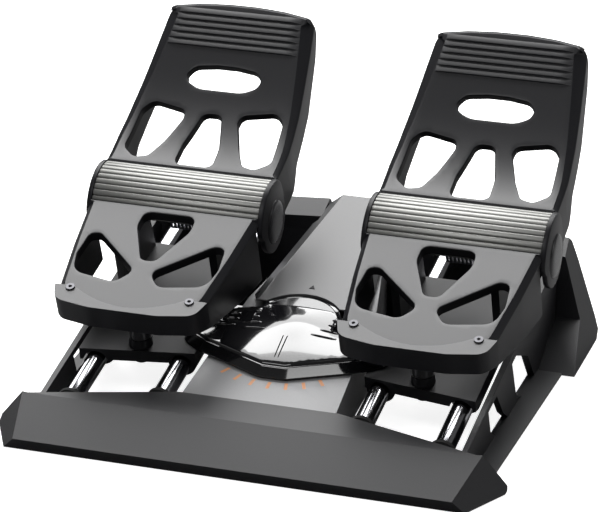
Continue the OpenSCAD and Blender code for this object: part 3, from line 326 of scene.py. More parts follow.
def flatRegion(outer, holes, step):
    # Triangles of the region inside outer and outside the holes, on a grid of points; the loops' points
    # come first, and slivers without an area are left out because they would spoil the shading
    loops = [outer] + holes
    points = np.vstack(loops)
    low, high = outer.min(0), outer.max(0)
    gx, gy = np.meshgrid(*(np.arange(low[k] + step / 2, high[k], step) for k in (0, 1)))
    grid = np.stack([gx.ravel(), gy.ravel()], 1)
    grid = grid[insideRegion(grid, outer, holes)]
    near = np.min(np.linalg.norm(grid[:, None] - points[None], axis=2), 1)
    everything = np.vstack([points, grid[near > flatGrid["clear"] * step]])
    edges, start = [], 0
    for loop in loops:
        ring = start + np.arange(len(loop))
        edges += np.stack([ring, np.roll(ring, -1)], 1).tolist()
        start += len(loop)
    made = delaunay_2d_cdt(everything.tolist(), edges, [], 0, flatGrid["same"])
    verts, triangles, origins = np.array(made[0]), np.array(made[2]), made[3]
    where = np.array([known[0] if known else -1 for known in origins])
    fresh = np.flatnonzero(where < 0)  # new points, where two edges cross
    where[fresh] = len(everything) + np.arange(len(fresh))
    corner = verts[triangles]
    one, two = corner[:, 1] - corner[:, 0], corner[:, 2] - corner[:, 0]
    wide = np.abs(one[:, 0] * two[:, 1] - one[:, 1] * two[:, 0]) > flatGrid["sliver"]
    keep = wide & insideRegion(corner.mean(1), outer, holes)
    return np.vstack([everything, verts[fresh]]), where[triangles[keep]]


class Sheet:
    # A flat region laid on a surface: rows of points (x, y, height) round its edges, and its middle
    def __init__(self):
        self.verts, self.faces, self.looks, self.count = [], [], [], 0

    def add(self, flat, height):
        # One row of points at a height, or a height each; the answer is their numbers
        self.verts.append(np.column_stack([flat, np.broadcast_to(height, len(flat))]))
        self.count += len(flat)
        return np.arange(self.count - len(flat), self.count)

    def strip(self, a, b, look=0):
        # The quads between two closed rows
        self.faces += np.stack([a, np.roll(a, -1), np.roll(b, -1), b], 1).tolist()
        self.looks += [look] * len(a)

    def fill(self, triangles, ids, look=0):
        # Triangles of flatRegion, with ids the numbers of its points
        self.faces += ids[triangles].tolist()
        self.looks += [look] * len(triangles)

    def piece(self, name, mapping, settings):
        meshPiece(name, mapping(*np.vstack(self.verts).T), self.faces, settings, self.looks)


# Pedals. Each is made for the right and mirrored for the left, with lengths from its toe hinge.

hinge = [v / mm for v in joints["right_toe_brake"]["pos_m"]]
sides = {"right": 1, "left": -1}


def fromHinge(side, x, y, z):
    # Points measured from the hinge, with x outwards on either side; the arrays may differ in shape
    return np.stack(np.broadcast_arrays(side * (hinge[0] + x), hinge[1] + y, hinge[2] + z), -1)


# Painted shade: the plates' chamfer strips take the darker chamfer copy of the plastic
plateLooks = ["pedal_plastic", "chamfer", "hollow_shade_and_black_mark"]
onFace, onChamferShade, inShadedHollow = range(len(plateLooks))
plateEdge = {
    "foot": 0.5, "round": 0.7,  # the corners below are in shares of round
    "low": [(0, -1), (0.2, -0.2), (1, 1)], "high": [(-1, -1), (-0.1, -0.15), (1, 0)],
    "looks": [onFace] * 5 + [onChamferShade] * 3 + [onFace],
    # painted shade: the openings' walls and the underside take the near-black copy
    "rim": (90, 67.5, 45, 22.5, 0), "rimLooks": [onFace] * 2 + [inShadedHollow] * 5,
}


def plateSheet(shape, chamferOf):
    # Rows (offset inwards, height) run from the underside round the outer edge and its chamfer to the flat
    # face, and from the face round a quarter circle down through each opening
    sheet, edge = Sheet(), plateEdge
    outer = evenLoop(counterclockwise(roundLoop(shape["outline"])), shape["step"])
    chamfer, drop = chamferOf(outer)
    foot = -drop - shape["lip"]
    rows = [(shape["wall"], -shape["skin"]), (shape["wall"], foot)]
    rows += [(edge["foot"], foot), (0, foot + edge["foot"])]
    rows += [(edge["round"] * a, edge["round"] * b - drop) for a, b in edge["low"]]
    rows += [(edge["round"] * a + chamfer, edge["round"] * b) for a, b in edge["high"]]
    ids = [sheet.add(inward(outer, offset), height) for offset, height in rows]
    for a, b, look in zip(ids, ids[1:], edge["looks"]):
        sheet.strip(a, b, look)
    inner = inward(outer, rows[-1][0])
    turn, flare = np.radians(edge["rim"]), shape["flare"]
    down = list(zip(shape["rim"] * (1 - np.cos(turn)), shape["rim"] * (np.sin(turn) - 1)))
    down += [(0, -shape["depth"]), (flare, -shape["depth"]), (flare, -shape["skin"])]
    loops, openings = [], []
    for hole in shape["holes"]:
        loop = evenLoop(counterclockwise(roundLoop(hole)), shape["step"] / 2)  # twice as fine
        made = [sheet.add(inward(loop, -out), height) for out, height in down]
        for a, b, look in zip(made, made[1:], edge["rimLooks"]):
            sheet.strip(b, a, look)
        loops.append(inward(loop, -down[0][0]))
        openings.append(made)
    points, triangles = flatRegion(inner, loops, shape["step"])
    known = np.concatenate([ids[-1]] + [made[0] for made in openings])
    rest = sheet.add(points[len(known):], 0)
    sheet.fill(triangles, np.concatenate([known, rest]), onFace)
    below = sheet.add(points, -shape["skin"])
    sheet.fill(triangles, below, inShadedHollow)
    sheet.strip(below[:len(inner)], ids[0], inShadedHollow)  # joins the underside to the outer edge
    start = len(inner)
    for made in openings:
        sheet.strip(made[-1], below[start:start + len(made[-1])], inShadedHollow)
        start += len(made[-1])
    return sheet


def rightEdge(plate, wall, at):
    # The x of a plate's right side at the lengths at, from its points further out than side and below end
    x, y = roundLoop(plate["outline"]).T
    chosen = (x > wall["side"]) & (y < wall["end"])
    x, y = x[chosen], y[chosen]
    order = np.argsort(y)
    return np.interp(at, y[order], x[order])


wallEdge = {"cut": 1.0, "soft": 0.3}
hands = np.array([1, -1])[:, None, None]  # both sides of a pedal, as the first axis of a grid


def wallPair(name, side, thick, top, foot, settings):
    # A wall on either side of a plate, straight from the line top to the line foot and thick inwards. At
    # each place seven points go round it, with the outer foot edge rounded and the inner one cut off.
    cut, soft = wallEdge["cut"], wallEdge["soft"]
    inwards, down = np.array([1, 0, 0]), unit(foot - top)
    across = np.stack([
        top, foot - cut * down, foot - soft * (down + inwards), foot - cut * inwards,
        foot - (thick - cut) * inwards, foot - thick * inwards - cut * down, top - thick * inwards], 1)
    x, y, z = across.transpose(2, 0, 1)
    faces = tubeFaces(*x.shape, len(hands))
    meshPiece(name, fromHinge(side, hands * x, y, z), faces, settings)


# Heel plates: p runs back along the face from the hinge and q stands out of it

heelPlate = {
    "tilt": math.radians(18.8), "lift": 22.6,
    "outline": mirroredLoop([
        (67.4, -23.6, 0), (63.2, -70, 80), (57.2, -118, 40), (52.2, -135, 10), (26, -139.6, 40)]),
    "holes": bothHoles([(52, -54, 6), (55, -86, 15), (51, -104.5, 12), (17, -111, 8), (6.5, -97, 7)]) + [
        mirroredLoop([(20, -31, 7), (20.5, -48, 20), (5.5, -84, 6)])],
    "chamfer": 4.6, "drop": 4.4, "endChamfer": 1.6, "endDrop": 0.9,
    "frontFrom": (126, 134), "backFrom": (-26, -24),
    "rim": 1.0, "depth": 7.0, "flare": 1.6, "skin": 4.0, "step": 3.2, "wall": 4.6, "lip": 1.2,
}
heelWall = {
    "flank": [(-140, 3.8), (-114, -7), (-60, -25), (-37, -31), (0, -38), (20, -38)],
    "from": -134, "to": -31, "count": 36, "side": 0, "end": 0,
    "thick": 4.4, "under": 1.0, "set": 0.3, "lean": 0.4,
}


def heelMap(side):
    # y = p cos tilt - (lift + q) sin tilt, z = p sin tilt + (lift + q) cos tilt
    def mapping(x, p, q):
        c, s = math.cos(heelPlate["tilt"]), math.sin(heelPlate["tilt"])
        q = heelPlate["lift"] + q
        return fromHinge(side, x, p * c - q * s, p * s + q * c)
    return mapping


def heelChamfer(outer):
    # Its width and drop at each point: full along the sides, and small round the front and the back
    shape, p = heelPlate, outer[:, 1]
    full = 1 - np.maximum(taper(-p, *shape["frontFrom"]), taper(p, *shape["backFrom"]))
    width = shape["endChamfer"] + (shape["chamfer"] - shape["endChamfer"]) * full
    return width, shape["endDrop"] + (shape["drop"] - shape["endDrop"]) * full


def makeHeel(name, side):
    plateSheet(heelPlate, heelChamfer).piece(f"{name}_heel_face", heelMap(side), {
        "looks": plateLooks, "body": f"{name}_slide", "slot": "pedal_plastic",
        "replaces": [f"{name}_heel_plate"]})


def makeHeelWalls(name, side):
    # From under the chamfer down to the flank's line, and back to just before the hinge
    c, s = math.cos(heelPlate["tilt"]), math.sin(heelPlate["tilt"])
    p = np.linspace(heelWall["from"], heelWall["to"], heelWall["count"])
    x = rightEdge(heelPlate, heelWall, p) - heelWall["set"]
    high = heelPlate["lift"] - heelPlate["drop"] - heelWall["under"]
    low = np.interp(p, *zip(*heelWall["flank"]))
    top = np.stack([x, p * c - high * s, p * s + high * c], 1)
    foot = np.stack([x - heelWall["lean"], p * c - low * s, p * s + low * c], 1)
    wallPair(f"{name}_heel_walls", side, heelWall["thick"], top, foot, {
        "looks": ["shaded_side_plastic"], "body": f"{name}_slide", "slot": "pedal_plastic", "sharp": 30})


# Toe plates: s runs up the face from the band and h stands out of it

toePlate = {
    "curve": [(5.94, 31.44), (62, 48), (100, 92), (132, 121)], "curvePoints": 241,
    "outline": mirroredLoop([
        (68.3, 0.5, 0), (68.7, 34, 60), (66.7, 67, 80), (61.7, 123, 80), (58.8, 151.8, 7.5), (34, 156.0, 60),
        (12, 157.6, 60)]),
    "holes": bothHoles([
        (22, 53, 6), (23, 61, 6), (50, 66.5, 8), (57, 57, 10), (59, 18, 8), (48, 8.5, 6), (38, 11.5, 6),
        (30, 29, 20)]) + [
        mirroredLoop([(15, 5.5, 6), (14.5, 27, 20), (7, 59.5, 6)]),
        mirroredLoop([(18, 81.4, 20), (28, 87, 8), (30, 93.3, 4), (25, 100.6, 8), (8, 103, 20)])],
    "chamfer": 4.2, "wider": 5.2, "widerFrom": (20, 150), "steep": 0.62,
    "crownChamfer": 2.2, "crownDrop": 1.6, "crownFrom": (54, 58.5), "bandFrom": (1.5, 4),
    "rim": 1.0, "depth": 6.4, "flare": 1.6, "skin": 3.8, "step": 3.2, "wall": 4.6, "lip": 1.2,
}
toeWall = {
    "rear": [(24, -8), (53, 3), (63, 22), (101, 48), (130, 85), (139.2, 106), (139.2, 112)],
    "from": 2, "to": 148, "count": 40, "side": 30, "end": 148,
    "thick": 4.6, "under": 0.8, "set": 0.2, "lean": 1.2, "tuck": 3.5, "tuckFrom": (138, 148),
}

toeLine = bezierPoints(*np.array(toePlate["curve"]), np.linspace(0, 1, toePlate["curvePoints"])[:, None])
toeRun = runLength(toeLine)
toeTangent = unit(np.gradient(toeLine, axis=0))


def toeSpot(s):
    # The point (y, z) on the face's curve at s, carried straight on past its ends, and the direction there
    t = np.stack([np.interp(s, toeRun, toeTangent[:, k]) for k in (0, 1)], -1)
    p = np.stack([np.interp(s, toeRun, toeLine[:, k]) for k in (0, 1)], -1)
    past = s - np.clip(s, 0, toeRun[-1])
    return p + t * past[..., None], t


def toeMap(side):
    # The face's point at s, moved by h along its normal (-t_z, t_y)
    def mapping(x, s, h):
        p, t = toeSpot(s)
        return fromHinge(side, x, p[..., 0] - h * t[..., 1], p[..., 1] + h * t[..., 0])
    return mapping


def sideChamfer(s):
    # Wider towards the crown
    return toePlate["chamfer"] + toePlate["wider"] * taper(s, *toePlate["widerFrom"])


def toeChamfer(outer):
    # Its width and drop at each point: full along the sides, and small round the crown and at the band
    shape, s = toePlate, outer[:, 1]
    full = np.minimum(taper(np.abs(outer[:, 0]), *shape["crownFrom"]), taper(s, *shape["bandFrom"]))
    width = shape["crownChamfer"] + (sideChamfer(s) - shape["crownChamfer"]) * full
    return width, shape["crownDrop"] + (shape["steep"] * sideChamfer(s) - shape["crownDrop"]) * full


def makeToeFace(name, side):
    plateSheet(toePlate, toeChamfer).piece(f"{name}_toe_face", toeMap(side), {
        "looks": plateLooks, "body": f"{name}_toe", "slot": "pedal_plastic",
        "replaces": [f"{name}_toe_plate"]})


def makeToeWalls(name, side):
    # From under the chamfer back to the rear line, tucked in at the top to meet the crown's round corners
    s = np.linspace(toeWall["from"], toeWall["to"], toeWall["count"])
    x = rightEdge(toePlate, toeWall, s)
    p, t = toeSpot(s)
    under = toePlate["steep"] * sideChamfer(s) + toeWall["under"]
    face = p + under[:, None] * np.stack([t[:, 1], -t[:, 0]], 1)
    rear = evenLine(np.array(toeWall["rear"], float), toeWall["count"])
    tuck = toeWall["tuck"] * taper(s, *toeWall["tuckFrom"]) ** 2
    top = np.column_stack([x - toeWall["set"], face])
    foot = np.column_stack([x - toeWall["lean"] - tuck, rear])
    wallPair(f"{name}_toe_walls", side, toeWall["thick"], top, foot, {
        "looks": ["shaded_side_plastic"], "body": f"{name}_toe", "slot": "pedal_plastic", "sharp": 30})


crown = {
    "from": 149.5, "count": 48, "under": 1.2, "foot": (138.4, 112.0), "follow": 0.1, "base": 148,
    "bulge": 1.2, "bulgeTo": (46, 58), "lead": 0.1, "steps": 8, "thick": 3.2,
    "narrow": 0.02, "corner": 0.05, "cornerFrom": (50, 59),
}


def makeCrown(name, side):
    # The wall behind the crown. At each place across, a bezier runs from under the face's edge over a
    # bulge to the foot, and the same curve lies thick further in; both narrow towards the foot.
    edge = roundLoop(toePlate["outline"])
    edge = edge[edge[:, 1] > crown["from"]]
    x, s = evenLine(edge[np.argsort(edge[:, 0])], crown["count"]).T
    p, t = toeSpot(s)
    top = p + crown["under"] * np.stack([t[:, 1], -t[:, 0]], 1)
    foot = np.array(crown["foot"]) + crown["follow"] * (s - crown["base"])[:, None] * t
    out = unit(np.stack([top[:, 1] - foot[:, 1], foot[:, 0] - top[:, 0]], 1))
    bulge = crown["bulge"] * (1 - taper(np.abs(x), *crown["bulgeTo"]))
    middle = (top + foot) / 2 + bulge[:, None] * out
    along = np.linspace(0, 1, crown["steps"])
    upper = (top + 2 * middle) / 3 + crown["lead"] * (middle - foot)
    lower = (2 * middle + foot) / 3
    curve = bezierPoints(top, upper, lower, foot, along[:, None, None]).transpose(1, 0, 2)
    ring = np.concatenate([curve, curve[:, ::-1] - crown["thick"] * t[:, None]], 1)
    less = crown["narrow"] + crown["corner"] * taper(np.abs(x), *crown["cornerFrom"])
    width = 1 - less[:, None] * np.concatenate([along, along[::-1]])
    points = fromHinge(side, x[:, None] * width, ring[..., 0], ring[..., 1])
    meshPiece(f"{name}_toe_crown", points, tubeFaces(crown["count"], 2 * crown["steps"]), {
        "looks": ["pedal_plastic"], "body": f"{name}_toe", "slot": "pedal_plastic", "sharp": 45})


ridges = {
    "first": 118.0, "step": 5.6, "count": 6, "half": 52.1, "halfAt": 123, "narrow": 0.1,
    "profile": [(0, -0.25), (0.05, 1.0), (0.35, 1.35), (0.9, 1.35), (5.2, 0.02), (5.2, -0.25)],
    "cuts": 24, "fade": 2.5, "least": 0.12,
}


def makeRidges(name, side):
    # Low wedges across the face: the profile (s, h), a steep front and a long back slope, is carried along
    # x, and its height fades near both ends as (half - |x|) / fade + least
    along, high = np.array(ridges["profile"]).T
    s = ridges["first"] + ridges["step"] * np.arange(ridges["count"])
    half = (ridges["half"] - (s - ridges["halfAt"]) * ridges["narrow"])[:, None]
    x = half * np.linspace(-1, 1, ridges["cuts"])
    fade = np.minimum(1, (half - np.abs(x)) / ridges["fade"] + ridges["least"])
    h = high * np.where(high > 0, fade[..., None], 1)
    points = toeMap(side)(x[..., None], s[:, None, None] + along, h)
    meshPiece(f"{name}_toe_ridges", points, tubeFaces(ridges["cuts"], len(along), ridges["count"]), {
        "looks": ["pedal_plastic"], "body": f"{name}_toe", "slot": "pedal_plastic", "sharp": 40})


band = {
    "radius": 32.0, "inner": 29.2, "half": 65.9, "from": 4.0, "to": 100.5, "ribs": 11, "ribSteps": 12,
    "groove": 1.15, "crown": 0.35, "edge": 0.6, "edgeDrop": 0.5,
}


def makeBand(name, side):
    # Ribs along the pedal's width, on an arc round the hinge. With f from -1 to 1 across each rib,
    # r = radius - groove f^8 - crown f^2
    count = band["ribs"] * band["ribSteps"] + 1
    angle = np.radians(np.linspace(band["from"], band["to"], count))[:, None]
    f = 2 * (np.arange(count) % band["ribSteps"]) / band["ribSteps"] - 1
    r = (band["radius"] - band["groove"] * f ** 8 - band["crown"] * f ** 2)[:, None]
    low, half = np.full_like(r, band["inner"]), band["half"]
    radius = np.hstack([low, r - band["edgeDrop"], r, r, r - band["edgeDrop"], low])
    x = np.array([-half, -half, -half + band["edge"], half - band["edge"], half, half])
    points = fromHinge(side, x, -radius * np.cos(angle), radius * np.sin(angle))
    meshPiece(f"{name}_ribbed_band", points, tubeFaces(count, len(x)), {
        "looks": ["band_metal"], "body": f"{name}_toe", "slot": "band_metal", "sharp": 50,
        "replaces": [f"{name}_band"]})


flange = {
    "inner": 66.2, "outer": 70.0, "step": 4,
    "angles": [0, 6, 100, 112, 150, 300, 345, 360], "reach": [31, 32.4, 32.4, 31.5, 25, 24, 25.5, 31],
    "edge": [(1.3, 1.0), (0.4, 0.982), (0, 0.95)],
}


def makeFlanges(name, side):
    # A disc at either end of the band, its reach given over the angle from straight ahead, upwards: wide
    # as the band in front, and in to the knuckle behind. Rows (depth, share of the reach) round its edge.
    degrees = np.arange(0, 360, flange["step"])
    reach, turn = np.interp(degrees, flange["angles"], flange["reach"]), np.radians(degrees)
    thick = flange["outer"] - flange["inner"]
    depth, share = np.array([(thick, 1)] + flange["edge"])[..., None].transpose(1, 0, 2)
    x = hands * (flange["outer"] - depth)
    points = fromHinge(side, x, -share * reach * np.cos(turn), share * reach * np.sin(turn))
    # painted shade: the flanges take the darker chamfer copy of the plastic
    meshPiece(f"{name}_toe_flanges", points, tubeFaces(len(depth), len(turn), len(hands)), {
        "looks": ["chamfer"], "body": f"{name}_toe", "slot": "pedal_plastic"})


cap = {
    "rows": [(0, 2.3), (6, 2.3), (11, 2.1), (14, 1.8), (15.6, 1.3), (16.6, 0.7), (17, 0)], "steps": 64,
}


def makeCaps(name, side):
    # Low round caps on the flanges: the rows (radius, height) turned about the hinge
    radius, out = np.array(cap["rows"])[..., None].transpose(1, 0, 2)
    turn = 2 * np.pi * np.arange(cap["steps"]) / cap["steps"]
    x = hands * (flange["outer"] + out)
    points = fromHinge(side, x, radius * np.cos(turn), radius * np.sin(turn))
    meshPiece(f"{name}_hinge_caps", points, ringFaces(len(radius), len(turn), len(hands)), {
        "looks": ["cap_plastic"], "body": f"{name}_toe", "slot": "cap_plastic",
        "replaces": [f"{name}_axle_caps"]})


for name, side in sides.items():
    makeHeel(name, side)
    makeHeelWalls(name, side)
    makeToeFace(name, side)
    makeToeWalls(name, side)
    makeCrown(name, side)
    makeRidges(name, side)
    makeBand(name, side)
    makeFlanges(name, side)
    makeCaps(name, side)
print("pedals made")

# Rocker, in the deck's frame: u to the back and w upwards from the pivot

pivot = [v / mm for v in joints["rudder_turn"]["pos_m"]]
deckUp = joints["rudder_turn"]["axis"]


def deckMap(x, u, w):
    # y = u cos a - w sin a, z = u sin a + w cos a from the pivot, with a the deck's slope
    s, c = -deckUp[1], deckUp[2]
    return np.stack(np.broadcast_arrays(pivot[0] + x, pivot[1] + u * c - w * s, pivot[2] + u * s + w * c), -1)


rocker = {
    "plan": mirroredLoop([
        (10, -58, 14), (62, -37, 18), (78, -26, 10), (80, -16, 8), (79, 6, 8), (50, 21, 10), (36, 26, 6)]),
    "top": 14.4, "fall": 5.0, "reachX": 74.0, "reachU": 49.0, "midU": -2.0, "crown": 2.2, "spread": 20.0,
    "duck": 4.4, "duckFrom": (31.5, 33.5), "duckTo": (54, 62), "duckBack": (-9, -5),
    "skirt": [(0, 1.6), (0.2, 2.4), (5.2, 7.4), (5.7, 7.95), (6.3, 8.15), (6.8, 8.1), (7.4, 8.9)],
    "lip": (7.8, 0.25), "inset": 8.6, "edgeStep": 2.0, "step": 3.0, "wall": 1.2,
}
rim = {
    "rows": [(34.6, 1.6), (34.6, 12.6), (34.25, 13.3), (33.4, 13.6), (31.4, 13.6), (31.0, 13.2), (0.1, 13.2)],
    "steps": 128, "under": 0.3, "rise": 5, "riseFrom": (10, 20),
}


def rockerHeight(x, u):
    # w = top - fall ((x / reachX)^2 + ((u - midU) / reachU)^2) + crown exp(-(x^2 + u^2) / spread^2) - duck
    # where duck lowers the rear of the wings, so that they turn in under the hump's edge
    form, r = rocker, np.hypot(x, u)
    bowl = (x / form["reachX"]) ** 2 + ((u - form["midU"]) / form["reachU"]) ** 2
    dome = form["crown"] * np.exp(-(r / form["spread"]) ** 2)
    duck = taper(r, *form["duckFrom"]) * (1 - taper(r, *form["duckTo"])) * taper(u, *form["duckBack"])
    return form["top"] - form["fall"] * bowl + dome - form["duck"] * duck


def makeRockerShell():
    # A stepped skirt round the plan, rows (offset inwards, height), and the domed top inside it
    sheet = Sheet()
    outline = evenLoop(counterclockwise(roundLoop(rocker["plan"])), rocker["edgeStep"])
    ids = [sheet.add(inward(outline, offset), height) for offset, height in rocker["skirt"]]
    for offset, lower in (rocker["lip"], (rocker["inset"], 0)):
        flat = inward(outline, offset)
        ids.append(sheet.add(flat, rockerHeight(*flat.T) - lower))
    for a, b in zip(ids, ids[1:]):
        sheet.strip(a, b)
    points, triangles = flatRegion(flat, [], rocker["step"])
    rest = points[len(flat):]
    sheet.fill(triangles, np.concatenate([ids[-1], sheet.add(rest, rockerHeight(*rest.T))]))
    sheet.piece("rocker_shell", deckMap, {
        "looks": ["gloss_black"], "body": "rocker", "slot": "gloss_black", "replaces": ["rocker_cover"],
        "sharp": 30, "wall": rocker["wall"]})


def makeRockerRim():
    # The round rear rim: rows (radius, height) turned about the pivot, kept just under the shell in front
    radius, height = np.array(rim["rows"])[..., None].transpose(1, 0, 2)
    turn = 2 * np.pi * np.arange(rim["steps"]) / rim["steps"]
    x, u = radius * np.cos(turn), radius * np.sin(turn)
    lid = rockerHeight(x, u) - rim["under"] + rim["rise"] * taper(u, *rim["riseFrom"])
    meshPiece("rocker_rim", deckMap(x, u, np.minimum(height, lid)), ringFaces(len(radius), len(turn)), {
        "looks": ["gloss_black"], "body": "rocker", "slot": "gloss_black"})


claws = {
    "rows": [-15, -8, -0.8, 6.4, 13.5],
    "starts": [17.5, 22.5, 26.5, 27.5, 28.5], "ends": [37, 37, 35.5, 34.5, 34],
    "outerStarts": [41.5, 42.5, 43.5, 44.5, 45.5], "outerEnds": [56, 55, 53.5, 52, 50],
    "lean": -0.6, "outerShift": (2.5, 2), "wide": 2.1, "high": 1.1, "cuts": 9, "swell": 6.4, "least": 0.08,
    "profile": [(0, -0.4), (0.1, 0.7), (0.35, 1), (0.7, 0.55), (1, -0.4)],
    "pointer": {"x": 1.3, "from": -44, "to": -21, "spread": 1.2, "wide": 0.8},
}


def clawLines():
    # Each mark is (start, end, vector across); the last two are the pointer's lines
    lines, wide, shift = [], (0, claws["wide"]), claws["outerShift"]
    columns = ("rows", "starts", "ends", "outerStarts", "outerEnds")
    for u, x0, x1, x2, x3 in zip(*(claws[column] for column in columns)):
        for hand in (1, -1):
            lines.append([(hand * x0, u), (hand * x1, u + claws["lean"]), wide])
            lines.append([(hand * x2, u + shift[0]), (hand * x3, u + shift[1]), wide])
    line = claws["pointer"]
    for x in (-line["x"], line["x"]):
        lines.append([(x, line["from"]), (x * line["spread"], line["to"]), (line["wide"], 0)])
    return np.array(lines, float)


def makeClaws():
    # Low wedges on the shell: the profile (share of the width, height) carried along each line, with the
    # height high min(1, swell t (1 - t) + least)
    lines = clawLines()
    start, end, across = lines[:, 0, None], lines[:, 1, None], lines[:, 2, None, None]
    t = np.linspace(0, 1, claws["cuts"])[:, None]
    share, rise = np.array(claws["profile"]).T
    q = (start + (end - start) * t)[:, :, None] + across * (share[:, None] - 0.5)
    high = claws["high"] * np.minimum(1, claws["swell"] * t * (1 - t) + claws["least"])
    w = rockerHeight(q[..., 0], q[..., 1]) + rise * high
    meshPiece("rocker_claws", deckMap(q[..., 0], q[..., 1], w), tubeFaces(len(t), len(share), len(lines)), {
        "looks": ["gloss_black"], "body": "rocker", "slot": "gloss_black", "sharp": 50})


humpMark = {"u": 45.0, "half": 2.4, "long": 4.6, "w": 13.8, "high": 0.35, "sink": 0.2, "narrow": 0.9}


def makeHumpMark():
    # A small arrowhead on the hump that points to the back: a triangle, and a narrower one above it
    half, end = humpMark["half"], humpMark["long"] / 2
    x = np.array([[1], [humpMark["narrow"]]]) * [-half, half, 0]
    u = humpMark["u"] + np.array([-end, -end, end])
    w = humpMark["w"] + np.array([[-humpMark["sink"]], [humpMark["high"]]])
    meshPiece("hump_mark", deckMap(x, u, w), tubeFaces(2, 3), {
        "looks": ["hollow_shade_and_black_mark"], "body": "base", "slot": "dark_plastic", "bevel": 0.12})


makeClaws()
makeHumpMark()
makeRockerShell()
makeRockerRim()
print("rocker made")

# CAD solids whose edges only need rounding: flat faces joined again, then bevelled

softWidths = {
    "front_bar": 1.2, "spine": 1.0, "hump_cover": 1.6, "left_wing": 1.6, "right_wing": 1.6, "rear_beam": 1.2,
    "left_side_wall": 0.8, "right_side_wall": 0.8, "left_carriage": 1.0, "right_carriage": 1.0,
    "left_heel_support": 0.5, "right_heel_support": 0.5, "left_heel_column": 0.5, "right_heel_column": 0.5,
    "rubber_feet": 0.6, "left_heel_screws": 0.3, "right_heel_screws": 0.3,
}
# Painted light: the spine takes the lighter copy of the deck plastic
softLooks = {"spine": "lit_deck_plastic"}
soft = {"join": 2e-6, "flat": 0.5, "angle": 24, "steps": 2, "level": 0.9}


def softened(node, width):
    work = bmesh.new()
    work.from_mesh(frame["nodes"][node].data)
    bmesh.ops.remove_doubles(work, verts=work.verts, dist=soft["join"])
    bmesh.ops.dissolve_limit(work, angle_limit=math.radians(soft["flat"]), verts=work.verts, edges=work.edges)
    mesh = bpy.data.meshes.new(f"{node}_soft")
    work.to_mesh(mesh)
    work.free()
    mesh.materials.clear()
    mesh.materials.append(materials[softLooks.get(node, slotOf[node])])
    if node.endswith("heel_support"):
        mesh.materials.append(materials["lit_support_top"])  # painted light: a lighter copy of the plastic on the upward faces, level with the heel plate
        normals = np.empty(3 * len(mesh.polygons))
        mesh.polygons.foreach_get("normal", normals)
        upward = normals.reshape(-1, 3) @ [0, -math.sin(heelPlate["tilt"]), math.cos(heelPlate["tilt"])]
        mesh.polygons.foreach_set("material_index", (upward > soft["level"]).astype(np.int32))
    smoothFaces(mesh, soft["angle"])
    made = bpy.data.objects.new(f"{node}_soft", mesh)
    bpy.context.collection.objects.link(made)
    bevelEdges(made, width, soft["steps"], soft["angle"])
    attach(made, bodyOf[node])
    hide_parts(node)


for node, width in softWidths.items():
    softened(node, width)
print("edges rounded:", len(softWidths))

# Studio: pale floor, white surroundings, soft lights behind and above

studio = {
    "backBox": {"place": (-0.6, 2.0, 2.0), "aim": (0, 0, 0.1), "size": (3.0, 2.1), "power": 112},
    "topBox": {"place": (-0.35, 1.1, 2.4), "aim": (0, 0, 0.1), "size": (2.6, 1.0), "power": 34},
    "crownFill": {"place": (-0.2, -1.4, 1.9), "aim": (0, 0, 0.2), "size": (2.2, 0.7), "power": 20},
    "rightFill": {"place": (2.6, 0.6, 1.0), "aim": (0, 0, 0.1), "size": (1.0, 1.0), "power": 5},
}
backdrop = {"seen": 1.0, "fill": 0.12}
paper = {"half": 6, "color": 0.85, "shade": 0.3, "rough": 0.9, "spec": 0.1, "glow": 0.85}


def seenByCamera(nodes, links):
    # 1 for rays from the camera, also through clear pieces, and 0 for all others
    path = nodes.new("ShaderNodeLightPath")
    seen = nodes.new("ShaderNodeMath")
    seen.operation = "MAXIMUM"
    links.new(path.outputs["Is Camera Ray"], seen.inputs[0])
    links.new(path.outputs["Is Transmission Ray"], seen.inputs[1])
    return path, seen


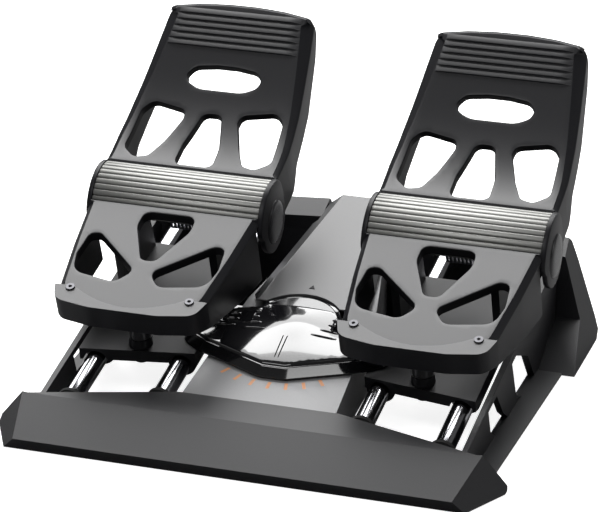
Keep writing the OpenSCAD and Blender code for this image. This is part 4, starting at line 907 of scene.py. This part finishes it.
def makeBackdrop():
    # White to the camera, and a weak even light on the pieces
    world = bpy.data.worlds.new("world")
    bpy.context.scene.world = world
    world.use_nodes = True
    nodes, links = world.node_tree.nodes, world.node_tree.links
    background = nodes["Background"]
    background.inputs["Color"].default_value = (1, 1, 1, 1)
    _, seen = seenByCamera(nodes, links)
    level = nodes.new("ShaderNodeMapRange")
    level.inputs["To Min"].default_value = backdrop["fill"]
    level.inputs["To Max"].default_value = backdrop["seen"]
    links.new(seen.outputs["Value"], level.inputs["Value"])
    links.new(level.outputs["Result"], background.inputs["Strength"])


def areaLight(name, row):
    light = bpy.data.lights.new(name, "AREA")
    light.shape = "RECTANGLE"
    light.size, light.size_y = row["size"]
    light.energy = row["power"]
    lamp = bpy.data.objects.new(name, light)
    bpy.context.collection.objects.link(lamp)
    lamp.location = row["place"]
    lamp.rotation_euler = (Vector(row["aim"]) - Vector(row["place"])).to_track_quat("-Z", "Y").to_euler()


def paperMaterial():
    # Pale and glowing to the camera, and greyer to all other rays, so that little light comes from below
    material = bpy.data.materials.new("floor")
    material.use_nodes = True
    nodes, links = material.node_tree.nodes, material.node_tree.links
    shader = nodes["Principled BSDF"]
    shader.inputs["Roughness"].default_value = paper["rough"]
    shader.inputs["Specular IOR Level"].default_value = paper["spec"]
    shader.inputs["Emission Color"].default_value = (1, 1, 1, 1)
    path, seen = seenByCamera(nodes, links)
    strength = nodes.new("ShaderNodeMath")
    strength.operation = "MULTIPLY"
    strength.inputs[1].default_value = paper["glow"]
    tint = nodes.new("ShaderNodeMix")
    tint.data_type = "RGBA"
    tint.inputs["A"].default_value = (*[paper["shade"]] * 3, 1)
    tint.inputs["B"].default_value = (*[paper["color"]] * 3, 1)
    links.new(path.outputs["Is Camera Ray"], tint.inputs["Factor"])
    links.new(tint.outputs["Result"], shader.inputs["Base Color"])
    links.new(seen.outputs["Value"], strength.inputs[0])
    links.new(strength.outputs["Value"], shader.inputs["Emission Strength"])
    return material


makeBackdrop()
for name, row in studio.items():
    areaLight(name, row)
h = paper["half"]
floorMesh = bpy.data.meshes.new("floor")
floorMesh.from_pydata([(-h, -h, 0), (h, -h, 0), (h, h, 0), (-h, h, 0)], [], [(0, 1, 2, 3)])
floorMesh.materials.append(paperMaterial())
floor = bpy.data.objects.new("floor", floorMesh)
bpy.context.collection.objects.link(floor)
print("studio:", len(studio), "lights")
